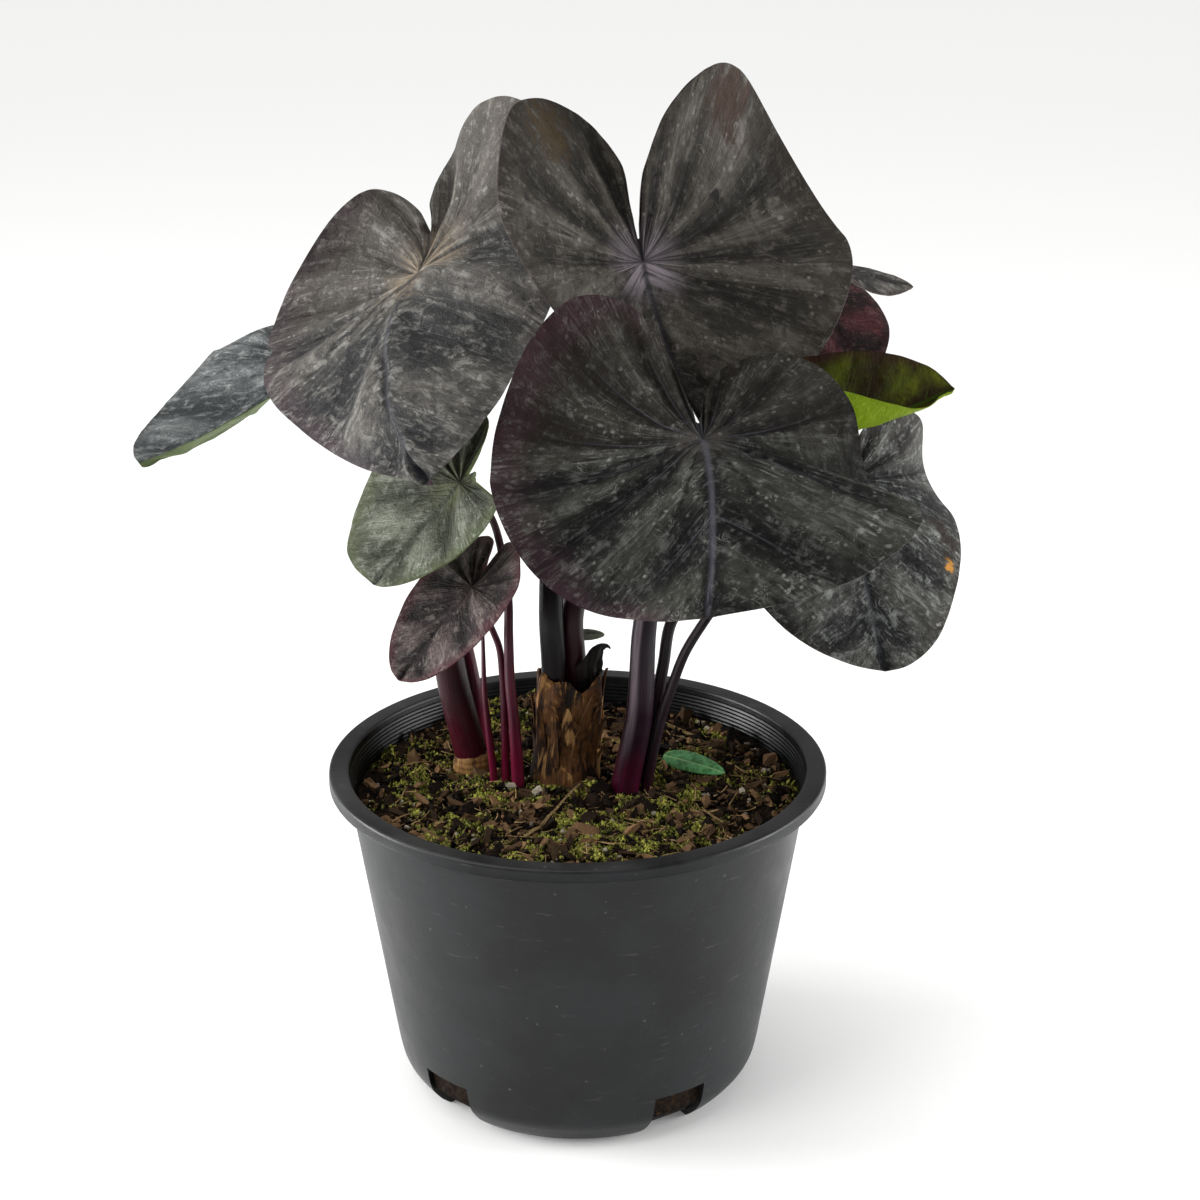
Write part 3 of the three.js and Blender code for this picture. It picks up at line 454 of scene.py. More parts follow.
@dataclass(frozen=True)
class BladeFinish:
    """Living elephant ear leaf: a waxy skin over near-black flesh, dusty with dried spray water.

    The waxy skin gives a soft satin light and no mirror. The hollows over the veins and the low places carry
    painted shade, and the swellings between them carry a painted highlight. Minerals left by the spray show
    as pale specks, as short curved strokes, and as mottling that flows out along the side veins.

    Attributes:
        name: Name of the material.
        upper: Colour of the upper face.
        raised: Colour of its swellings, a painted highlight.
        hollow: Colour of the painted shade in its hollows and low places.
        margin: Tint of the margin.
        vein: Colour of the vein lines.
        dust: Colour of the dried minerals.
        dust_share: How much of them there is.
        mottle: How strongly the dusty mottling shows.
        heart: Colour round the stem's place.
        heart_reach: Radius of that patch in metres.
        under: Colour of the underside.
        under_vein: Colour of its ribs.
        roughness: Roughness of the waxy skin.
        gloss: Specular level of the waxy skin.
        margin_from: Share of the way out at which the margin's tint begins.
        margin_side: 1 or -1 where the tint keeps to the right or the left half, 0 for both.
        valleys: Folds that run out from the stem's place, painted in as shade, each as angle from the tip's
            way towards the right half and half width, in degrees, and reach in millimetres.
        marks: Round patches of a set colour, each as its place on the flat blade, its radius in millimetres
            and its colour.
        depth: How strong the painted shade in the hollows over the veins and in the low places is.
        lobe: Colour painted over the lobes behind the stem's place, as painted light where it is paler than
            the blade and painted shade where it is darker.
        lobe_share: How far they turn.
        lobe_dust: How much of the dust they keep.
        margin_tint: How strong the margin's tint is.
    """

    name: str
    upper: str = "#1c1d1b"
    raised: str = "#42423c"
    hollow: str = "#09090b"
    margin: str = "#2f1c22"
    vein: str = "#2c2b38"
    dust: str = "#9a9b96"
    dust_share: float = 0.6
    mottle: float = 0.5
    heart: str = "#6d6660"
    heart_reach: float = 0.022
    under: str = "#43323a"
    under_vein: str = "#6a3346"
    roughness: float = 0.5
    gloss: float = 0.14
    margin_from: float = 0.9
    margin_side: float = 0.0
    valleys: tuple[tuple[float, float, float], ...] = ()
    marks: tuple[tuple[float, float, float, str], ...] = ()
    depth: float = 0.95
    lobe: str = "#5c5850"
    lobe_share: float = 0.0
    lobe_dust: float = 1.0
    margin_tint: float = 0.85

    def grain(self, p: Patterns, flat: Any, between: Any) -> Any:
        """Mottling: noise 3 mm wide drawn out along the side veins, mixed with round noise 6 mm wide."""
        flow = p.noise(p.scaled(between, (8.0, 2.6, 1.0)), 1.0, 7.0, 0.68, 1.1)
        swirl = p.noise(flat, 165.0, 6.0, 0.7, 0.7)
        return p.math("MULTIPLY", p.math("ADD", flow, swirl), 0.5)

    def dusting(self, p: Patterns, flat: Any, between: Any) -> Any:
        """Share of dried minerals: streaks, strokes, specks and flecks, thicker in some patches."""
        cloud = p.noise(flat, 34.0, 6.0, 0.7)
        patch = p.ramp(cloud, 0.44, 0.62)
        # Streaks are about 0.6 mm wide and 15 mm long, strokes a third of a millimetre wide
        streak = p.ramp(p.noise(p.scaled(between, (24.0, 4.5, 1.0)), 1.0, 5.0, 0.66), 0.52, 0.66)
        curl = p.noise(flat, 120.0, 3.0, 0.5, 2.2)
        stroke = p.ramp(p.math("ABSOLUTE", p.math("SUBTRACT", curl, 0.5)), 0.004, 0.024, 1.0, 0.0)
        broken = p.ramp(p.noise(flat, 180.0, 3.0), 0.5, 0.6)
        near, tone = p.cells(flat, 300.0)
        speck = p.math("MULTIPLY", p.ramp(near, 0.10, 0.32, 1.0, 0.0), p.ramp(p.split(tone)[0], 0.62, 0.92))
        fleck_near, fleck_tone = p.cells(p.scaled(between, (9.0, 15.0, 1.0)), 1.0)
        fleck = p.math("MULTIPLY", p.ramp(fleck_near, 0.12, 0.36, 1.0, 0.0),
                       p.ramp(p.split(fleck_tone)[0], 0.7, 0.95))
        dust = p.math("MULTIPLY", p.math("MULTIPLY", streak, patch), 0.7)
        strokes = p.math("MULTIPLY", p.math("MULTIPLY", stroke, broken), p.ramp(cloud, 0.4, 0.6, 0.3, 1.0))
        dust = p.math("ADD", dust, p.math("MULTIPLY", strokes, 0.8))
        dust = p.math("ADD", dust, p.math("MULTIPLY", speck, p.ramp(cloud, 0.38, 0.6, 0.35, 0.95)))
        flecks = p.math("MULTIPLY", fleck, p.ramp(cloud, 0.36, 0.6, 0.15, 0.75))
        dust = p.math("ADD", dust, flecks, clamp=True)
        return p.math("MULTIPLY", dust, self.dust_share)

    def hollows(self, p: Patterns, flat: Any, along: Any, from_line: Any) -> Any:
        """Share of the painted shade in the hollow beside the veins: 9 mm wide, with a wandering edge, fading
        outwards.
        """
        wander = p.math("MULTIPLY", p.math("SUBTRACT", p.noise(flat, 90.0, 5.0, 0.68), 0.5), 0.014)
        beside = p.ramp(p.math("ADD", from_line, wander), 0.0002, 0.0075, self.depth, 0.0)
        return p.math("MULTIPLY", beside, p.ramp(along, 0.3, 0.9, 1.0, 0.15))

    def painted_fold_shade(self, p: Patterns, across: Any, forward: Any, from_heart: Any, clouds: Any) -> Any:
        """Share of the folds' painted shade: full near the stem's place and gone at each one's reach."""
        angle = p.math("MULTIPLY", p.math("ARCTAN2", across, forward), 180 / np.pi)
        angle = p.math("ADD", angle, p.math("MULTIPLY", p.math("SUBTRACT", clouds, 0.5), 30.0))
        folds: Any = 0.0
        for heading, half_width, reach in self.valleys:
            off = p.math("ABSOLUTE", p.math("SUBTRACT", angle, heading))
            fold = p.math("MULTIPLY", p.ramp(off, 0.0, half_width, 0.9, 0.0),
                          p.ramp(from_heart, 0.27 * reach * MM, reach * MM, 1.0, 0.0))
            folds = p.math("MAXIMUM", folds, fold)
        return folds

    def material(self) -> bpy.types.Material:
        """Builds the leaf material from the flat place on the blade and the place between its veins."""
        p = Patterns(self.name)
        flat, between = p.uv("flat"), p.uv("vein")
        vein_number, along, _ = p.split(between)
        across, forward, _ = p.split(flat)
        # Side veins are about 0.7 mm wide and the midrib about 2.4 mm
        from_vein = p.math("MULTIPLY", p.math("PINGPONG", vein_number, 0.5), p.value("span"))
        from_rib = p.math("ABSOLUTE", across)
        on_vein = p.math("MULTIPLY", p.ramp(from_vein, 0.0001, 0.0006, 1.0, 0.0),
                         p.ramp(along, 0.2, 0.9, 0.5, 0.0))
        on_rib = p.math("MULTIPLY", p.ramp(from_rib, 0.0002, 0.0019, 0.85, 0.0),
                        p.ramp(along, 0.6, 1.0, 0.9, 0.2))
        lines = p.math("MAXIMUM", on_vein, on_rib)
        from_heart = add_node(p.tree, "VectorMath", {0: flat}, operation="LENGTH").outputs["Value"]
        # Clouds about 25 mm across, broken by mottling about 5 mm across
        clouds = p.noise(flat, 40.0, 6.0, 0.68)
        puff = p.math("ADD", p.value("puff"), p.math("MULTIPLY", p.math("SUBTRACT", clouds, 0.5), 2.2))
        # Swellings take the raised colour as a painted highlight, broken by the clouds
        colour = p.mix(p.ramp(puff, -0.35, 0.75), linear(self.upper), linear(self.raised))
        behind = p.ramp(p.math("ADD", forward, p.math("MULTIPLY", clouds, 0.02)), -0.014, 0.014, 1.0, 0.0)
        # Painted shade in the hollow colour: on low places, on the dips of the grain that also sets the
        # puckers' bump, and beside the veins
        colour = p.mix(p.ramp(puff, -1.0, -0.1, 0.95 * self.depth, 0.0), colour, linear(self.hollow))
        grain = self.grain(p, flat, between)
        colour = p.mix(p.ramp(grain, 0.36, 0.50, 0.8, 0.0), colour, linear(self.hollow))
        beside = self.hollows(p, flat, along, p.math("MINIMUM", from_vein, from_rib))
        colour = p.mix(beside, colour, linear(self.hollow))
        # Painted shade along the folds that fan out from the stem's place
        if self.valleys:
            folds = self.painted_fold_shade(p, across, forward, from_heart, clouds)
            colour = p.mix(folds, colour, linear(self.hollow))
        # The lobes behind the stem's place take the lobe colour as painted light and shade
        if self.lobe_share:
            colour = p.mix(p.math("MULTIPLY", behind, self.lobe_share), colour, linear(self.lobe))
        ragged = p.math("ADD", along, p.math("MULTIPLY", p.noise(flat, 55.0, 5.0), 0.35))
        tint = p.ramp(ragged, self.margin_from, self.margin_from + 0.3, 0.0, self.margin_tint)
        if self.margin_side:
            tint = p.math("MULTIPLY", tint, p.ramp(p.math("MULTIPLY", across, self.margin_side), 0.0, 0.03))
        colour = p.mix(tint, colour, linear(self.margin))
        mottled = p.math("MULTIPLY", p.ramp(grain, 0.50, 0.62, 0.0, self.mottle),
                         p.ramp(behind, 0.0, 1.0, 1.0, self.lobe_dust))
        colour = p.mix(mottled, colour, linear(self.dust))
        dust = self.dusting(p, flat, between)
        # Dust is dimmed in the low places, under their painted shade
        dust = p.math("MULTIPLY", dust, p.ramp(puff, -0.8, 0.4, 0.3, 1.0))
        dust = p.math("MULTIPLY", dust, p.ramp(behind, 0.0, 1.0, 1.0, self.lobe_dust))
        # Dust is dimmed under the folds' painted shade
        if self.valleys:
            dust = p.math("MULTIPLY", dust, p.ramp(folds, 0.1, 0.8, 1.0, 0.15))
        colour = p.mix(dust, colour, linear(self.dust))
        rays = p.noise(p.scaled(between, (9.0, 1.5, 1.0)), 1.0, 3.0)
        glow = p.math("MULTIPLY", p.ramp(from_heart, 0.001, self.heart_reach, 0.8, 0.0),
                      p.ramp(rays, 0.4, 0.58, 0.1, 1.0))
        colour = p.mix(glow, colour, linear(self.heart))
        colour = p.mix(lines, colour, linear(self.vein))
        for x, y, radius, code in self.marks:
            middle = (x * MM, y * MM, 0.0)
            away = add_node(p.tree, "VectorMath", {0: flat, 1: middle}, operation="DISTANCE").outputs["Value"]
            away = p.math("ADD", away, p.math("MULTIPLY", p.math("SUBTRACT", grain, 0.5), 5.0 * radius * MM))
            colour = p.mix(p.ramp(away, 0.4 * radius * MM, radius * MM, 0.9, 0.0), colour, linear(code))
        below = p.mix(p.ramp(clouds, 0.3, 0.7, 0.0, 0.35), linear(self.under), linear(self.raised))
        below = p.mix(p.math("MULTIPLY", lines, 0.9), below, linear(self.under_vein))
        colour = p.mix(p.value("under"), colour, below)
        roughness = p.math("ADD", p.ramp(clouds, 0.3, 0.7, self.roughness - 0.06, self.roughness + 0.08),
                           p.math("MULTIPLY", dust, 0.3))
        # Fine puckers 2 to 6 mm long that run with the side veins, over skin cells drawn 0.8 mm wide
        relief = p.math("ADD", p.math("MULTIPLY", grain, 2.4),
                        p.math("MULTIPLY", p.noise(flat, 1200.0, 2.0), 0.2))
        relief = p.math("ADD", relief, p.math("MULTIPLY", p.noise(flat, 230.0, 4.0, 0.6), 0.9))
        relief = p.math("ADD", relief, p.math("MULTIPLY", lines, -0.4))
        normal = p.bump(relief, 0.0014, 0.9)
        return p.finish(colour, roughness, normal, Specular_IOR_Level=self.gloss)


@dataclass(frozen=True)
class LeafShape:
    """One leaf's posture and outline, in millimetres and degrees.

    Left and right are as seen from the stem towards the tip, and pairs give the left half first.

    Attributes:
        name: Which leaf.
        at: Where the stem meets the blade.
        aim: Heading of the midrib.
        pitch: Slope of the midrib there.
        roll: Turn about the midrib.
        tip: Flat length to the tip.
        width: Half widths.
        lobe: Lobe lengths.
        sinus: Depth at which the lobes part.
        full: Extra breadth near the tip.
        shut: How closely the lobes meet.
        droop: Bend of the midrib down to the tip.
        lift: Bend up into the lobes.
        fold_front: Rise of each half beside the midrib, in front.
        fold_back: The same, behind.
        curl: Further bend out to the margin.
        twist: Turn of the front.
        sweep: Sideways bend of the front.
        pleat: One deep crease as angle from the midrib, depth and width.
        quilt: Swelling between veins.
        wave: Ripple of the margin.
        blunt: How rounded the tip is.
        stem_radii: Stem's radius at foot and top.
        stem_taper: How late the stem narrows.
        stem_via: Points that the stem passes through, from its foot up.
        gather: Depth of the folds that run out from the stem's place.
        rumple: Depth of the wandering creases further out.
    """

    name: str
    at: tuple[float, float, float]
    aim: float
    pitch: float
    roll: float
    tip: float
    width: tuple[float, float]
    lobe: tuple[float, float]
    sinus: float
    full: tuple[float, float]
    shut: tuple[float, float]
    droop: float
    lift: tuple[float, float]
    fold_front: tuple[float, float]
    fold_back: tuple[float, float]
    curl: tuple[float, float]
    twist: float
    sweep: float
    pleat: tuple[float, float, float]
    quilt: float
    wave: float
    blunt: float
    stem_radii: tuple[float, float]
    stem_taper: float
    stem_via: tuple[tuple[float, float, float], ...]
    gather: float = 0.35
    rumple: float = 0.5

    def half_outline(self, side: int, rows: int) -> Array:
        """Flat outline of one half, from the tip to the notch between the lobes.

        Args:
            side: 0 for the left half and 1 for the right.
            rows: How many points, evenly spread in share from 0 to 1.

        Returns:
            Distances from the midrib and along it, before the left half is mirrored.
        """
        outlines = (FRONT_OUTLINE, BLUNT_TIP, OPEN_LOBE, SHUT_LOBE)
        front, rounded, opened, closed = (np.array(outline, float) for outline in outlines)
        y = front[:, 1].copy()
        swell = np.where((y > 0) & (y < 1), self.full[side] * 2.2 * y * np.sqrt(np.clip(1 - y, 0, 1)), 0.0)
        front[: len(rounded)] += (rounded - front[: len(rounded)]) * self.blunt
        front[:, 0] += swell
        back = opened + (closed - opened) * self.shut[side]
        notch = min(self.sinus, 0.3 * min(self.lobe))
        corners = np.vstack([front, back, [[0.0, -notch / self.lobe[side]]]])
        line = spline_through(corners, rows)
        length = np.where(line[:, 1] > 0, self.tip, self.lobe[side])
        least = np.r_[0.0, np.full(rows - 2, 0.01), 0.0]
        return np.stack([np.maximum(line[:, 0], least) * self.width[side], line[:, 1] * length], axis=1)

    def middle(self, x: Array, y: Array, swell: Array | float) -> Array:
        """Blade's middle surface in the leaf's own frame (right, towards the tip, up).

        The midrib is an arc of constant bend. Beside it each half rises by its fold within a few
        millimetres and then bends evenly by its curl, summed in steps outwards. The crease, the
        twist and the sweep follow.

        Args:
            x: Flat distance to the right of the midrib.
            y: Flat distance along the midrib, towards the tip.
            swell: Height added square to the surface.

        Returns:
            Points in the leaf's own frame.
        """
        right = 0.5 + 0.5 * np.tanh(x / 6)
        mixed = lambda pair: pair[0] + (pair[1] - pair[0]) * right
        lobe = mixed(self.lobe)
        bend = np.where(y >= 0, -np.radians(self.droop) / self.tip, np.radians(mixed(self.lift)) / lobe)
        bend = np.where(np.abs(bend) < 1e-6, 1e-6, bend)
        turn = bend * y
        spine, rise = np.sin(turn) / bend, (1 - np.cos(turn)) / bend
        front = smooth_step(y / np.where(y >= 0, self.tip, lobe), -1.0, 1.0)
        fold = np.radians(mixed(self.fold_back) * (1 - front) + mixed(self.fold_front) * front)
        curl = np.radians(mixed(self.curl))
        reach = np.abs(x)
        step = (np.arange(BEND_STEPS) + 0.5) / BEND_STEPS
        distance = reach[..., None] * step
        width = np.where(x >= 0, self.width[1], self.width[0])
        slope = fold[..., None] * (1 - np.exp(-distance / 5)) + curl[..., None] * distance / width[..., None]
        across = np.cos(slope).mean(-1) * reach * np.sign(x)
        up = np.sin(slope).mean(-1) * reach
        twist = np.radians(self.twist) * np.maximum(y / self.tip, 0)
        angle, depth, spread = self.pleat
        crease = np.minimum(np.hypot(x, y) / 70, 1.6) ** 1.3
        fade = np.exp(-(((np.degrees(np.arctan2(x, y)) - angle) / spread) ** 2))
        height = across * np.sin(twist) + up * np.cos(twist) - depth * crease * fade + swell
        aside = np.where(y > 0, np.sin(np.radians(self.sweep)) * y * y / self.tip, 0.0)
        return np.stack([across * np.cos(twist) - up * np.sin(twist) + aside,
                         spine - np.sin(turn) * height, rise + np.cos(turn) * height], axis=-1)

    def normal(self, x: Array, y: Array) -> Array:
        """Unit normal of the middle surface, from differences a small step to each side."""
        along_x = self.middle(x + NORMAL_STEP, y, 0.0) - self.middle(x - NORMAL_STEP, y, 0.0)
        along_y = self.middle(x, y + NORMAL_STEP, 0.0) - self.middle(x, y - NORMAL_STEP, 0.0)
        normal = np.cross(along_x, along_y)
        return normal / np.linalg.norm(normal, axis=-1, keepdims=True)

    def axes(self) -> Array:
        """Rows: the leaf's right, its way to the tip and its up, in the plant's frame."""
        aim, pitch, roll = np.radians([self.aim, self.pitch, self.roll])
        forward = np.array([np.cos(aim) * np.cos(pitch), np.sin(aim) * np.cos(pitch), np.sin(pitch)])
        right = np.array([np.sin(aim), -np.cos(aim), 0.0])
        rolled = right * np.cos(roll) + np.cross(right, forward) * np.sin(roll)
        return np.stack([rolled, forward, np.cross(rolled, forward)])

    def placed(self, points: Array) -> Array:
        """Points of the leaf's own frame in the plant's frame."""
        return points @ self.axes() + np.array(self.at, float)

    def stem_path(self, samples: int) -> Array:
        """The stem's centre line at equal steps, from its foot into the underside of the blade."""
        origin = np.zeros(1)
        normal = self.normal(origin, origin)[0] @ self.axes()
        socket = np.array(self.at, float) - normal * (BLADE_THICKNESS / 2 + MIDRIB_DEPTH + 2 * STEM_GAP)
        corners = np.vstack([np.array(self.stem_via, float), socket - NECK_LENGTH * normal, socket])
        path = even_steps(spline_through(corners, 600), samples - 2)
        return np.vstack([path, socket + normal * NECK_RISE, np.array(self.at, float) - normal * NECK_END])


class BladeMesh(Enum):
    """How finely a blade is meshed: rows for each side vein, and columns from the midrib out."""

    SMALL = (12, 30)
    LARGE = (24, 46)


@dataclass
class LeafBlade:
    """A blade meshed along its side veins, with grooved veins above and ribs below."""

    shape: LeafShape
    finish: BladeFinish
    slot: str
    mesh: BladeMesh

    def relief(self, x: Array, y: Array, share: Array, along: Array, vein_gap: Array) -> Array:
        """Height of the upper face over the bent sheet.

        The swelling between veins is a cosine of the place between them, highest half way out. The margin
        ripples with the cube of the way out. Narrow grooves lie on the veins, folds fan out from the
        stem's place, creases of polar noise 0.16 radians wide and 26 mm long wander outwards, and soft
        noise 11 mm and 3 mm wide lies over all.

        Args:
            x: Flat distance to the right of the midrib.
            y: Flat distance along the midrib.
            share: Share of the outline at which the side vein through the point ends.
            along: Share of the way from the midrib to the margin.
            vein_gap: Distance to the nearest side vein in millimetres.

        Returns:
            Height in millimetres.
        """
        leaf = self.shape
        quilt = -leaf.quilt * np.cos(2 * np.pi * VEINS * share) * (4 * along * (1 - along)) ** 0.8
        ripple = leaf.wave * along**3 * np.sin(5 * np.pi * share + x / 30)
        groove = -0.45 * leaf.quilt * np.exp(-((vein_gap / 1.1) ** 2)) * smooth_step(along, 0.02, 0.2)
        groove = groove * (1 - smooth_step(along, 0.8, 1.0))
        inside = 1 - smooth_step(along, 0.8, 1.0)
        rib = -0.5 * np.exp(-((x / 1.6) ** 2)) * smooth_step(y, 2.0, 12.0) * inside
        radius, angle = np.hypot(x, y), np.arctan2(x, y)
        fan = 0.6 * np.sin(13 * angle + 1.3) + 0.4 * np.sin(22 * angle + 0.5 + radius / 14)
        size = leaf.tip / 97
        gather = leaf.gather * fan * smooth_step(radius, 1.5, 12.0 * size)
        gather = gather * np.exp(-((radius / (34 * size)) ** 2))
        seed = len(leaf.name) * 7 + int(leaf.tip)
        # Shifted so that every place on the blade is on the positive side of the lattice
        across, forward = x + 400, y + 400
        soft = 0.35 * lattice_noise(across, forward, 11.0, seed)
        soft = soft + 0.12 * lattice_noise(across, forward, 3.2, seed + 1)
        wander = 0.5 * lattice_noise(across, forward, 24.0, seed + 2)
        creases = lattice_noise((angle + 4) / 0.16 + wander, radius / 26 + angle, 1.0, seed + 3)
        creases = leaf.rumple * creases * smooth_step(radius, 8.0, 45.0 * size)
        creases = creases * (1 - 0.5 * smooth_step(along, 0.8, 1.0))
        return quilt + ripple + groove + rib + gather + creases + soft * smooth_step(radius, 2.0, 12.0)

    def surface(self) -> Surface:
        """The closed blade: both faces and the margin between them.

        A point of half a blade is (w(s) f, r(s) + (o(s) - r(s)) f), where s is the share of the outline,
        f the share of the way out, (w, o) the outline and r the side vein's root on the midrib.
        """
        leaf = self.shape
        rows_per_vein, columns = self.mesh.value
        rows = VEINS * rows_per_vein + 1
        outlines = [leaf.half_outline(side, rows) for side in (0, 1)]
        mean = (outlines[0] + outlines[1]) / 2
        root = VEIN_ROOT * np.maximum(0.0, mean[:, 1] - VEIN_SLOPE * mean[:, 0])
        out = np.linspace(0.0, 1.0, columns)[None, :]
        share = np.repeat(np.linspace(0.0, 1.0, rows)[:, None], columns, axis=1)
        flats, gaps = [], []
        for side, line in enumerate(outlines):
            x = (1 if side else -1) * line[:, :1] * out
            y = root[:, None] + (line[:, 1:] - root[:, None]) * out
            flats.append(np.stack([x, y], axis=-1))
            down, over = np.gradient(flats[-1], axis=0), np.gradient(flats[-1], axis=1)
            area = np.abs(down[..., 0] * over[..., 1] - down[..., 1] * over[..., 0])
            length = np.maximum(np.linalg.norm(over, axis=-1), 1e-6)
            gaps.append(area / length * rows_per_vein)
        flat = np.stack(flats).reshape(-1, 2)
        vein_span = np.stack(gaps).reshape(-1)
        share2 = np.concatenate([share.ravel(), share.ravel()])
        along2 = np.tile(np.broadcast_to(out, share.shape).ravel(), 2)
        between = share2 * VEINS
        vein_gap = np.abs(between - np.round(between)) * vein_span
        _, kept, number = np.unique(np.round(flat, 3), axis=0, return_index=True, return_inverse=True)
        number = number.ravel()
        x, y, s, f, gap = flat[kept, 0], flat[kept, 1], share2[kept], along2[kept], vein_gap[kept]
        raised = self.relief(x, y, s, f, gap)
        middle = leaf.middle(x, y, raised)
        normal = leaf.normal(x, y)
        thick = MARGIN_THICKNESS + (BLADE_THICKNESS - MARGIN_THICKNESS) * (1 - smooth_step(f, 0.85, 1.0))
        rib = MIDRIB_DEPTH * np.exp(-((x / 1.3) ** 2)) * (1 - 0.7 * np.maximum(y / leaf.tip, 0))
        rib = rib * smooth_step(y, -8.0, 2.0)
        rib = np.maximum(rib, 0.4 * np.exp(-((gap / 0.8) ** 2)) * smooth_step(f, 0.01, 0.1) * (1 - f))
        rib = rib * (1 - smooth_step(f, 0.9, 1.0))
        top = middle + normal * (thick / 2)[:, None]
        bottom = middle - normal * (thick / 2 + rib)[:, None]
        points = leaf.placed(np.vstack([top, bottom]))
        # Faces of each half, by grid number, so that a corner keeps its own place between the veins
        quads = grid_quads(rows, columns, wrap=False)
        block = rows * columns
        right = quads[:, [[0, 1, 2], [0, 2, 3]]].reshape(-1, 3) + block
        left = quads[:, [[0, 2, 1], [0, 3, 2]]].reshape(-1, 3)
        upper = np.vstack([left, right])
        rim = np.arange(rows) * columns + columns - 1
        near, far = rim[:-1], rim[1:]
        zero, below = np.zeros_like(near), len(kept)
        grid = [upper, upper[:, ::-1]]
        level = [np.zeros_like(upper), np.full_like(upper, below)]
        for offset, flip in ((block, False), (0, True)):
            a = np.stack([near, far, far], axis=1) + offset
            a_level = np.stack([zero, zero, zero + below], axis=1)
            b = np.stack([near, far, near], axis=1) + offset
            b_level = np.stack([zero, zero + below, zero + below], axis=1)
            for corner, corner_level in ((a, a_level), (b, b_level)):
                grid.append(corner[:, ::-1] if flip else corner)
                level.append(corner_level[:, ::-1] if flip else corner_level)
        corners, levels = np.vstack(grid), np.vstack(level)
        faces = number[corners] + levels
        keep = has_area(faces)
        corners, levels, faces = corners[keep].ravel(), levels[keep].ravel(), faces[keep]
        puff = np.clip(raised / (0.7 * leaf.quilt + 0.5), -1.5, 1.5)[number[corners]]
        uv_maps = {"flat": flat[corners] * MM, "vein": np.stack([between[corners], along2[corners]], axis=1)}
        values = {"span": vein_span[corners] * MM, "under": (levels > 0).astype(float), "puff": puff}
        return Surface(points, faces, uv_maps, values)

    def build(self) -> bpy.types.Object:
        """Makes the blade and hands it to the frame in place of the plain one."""
        name, node = f"{self.shape.name}_blade", f"leaf_{self.shape.name}"
        return add_piece(self.surface(), name, self.finish.material(), [node], 70.0)


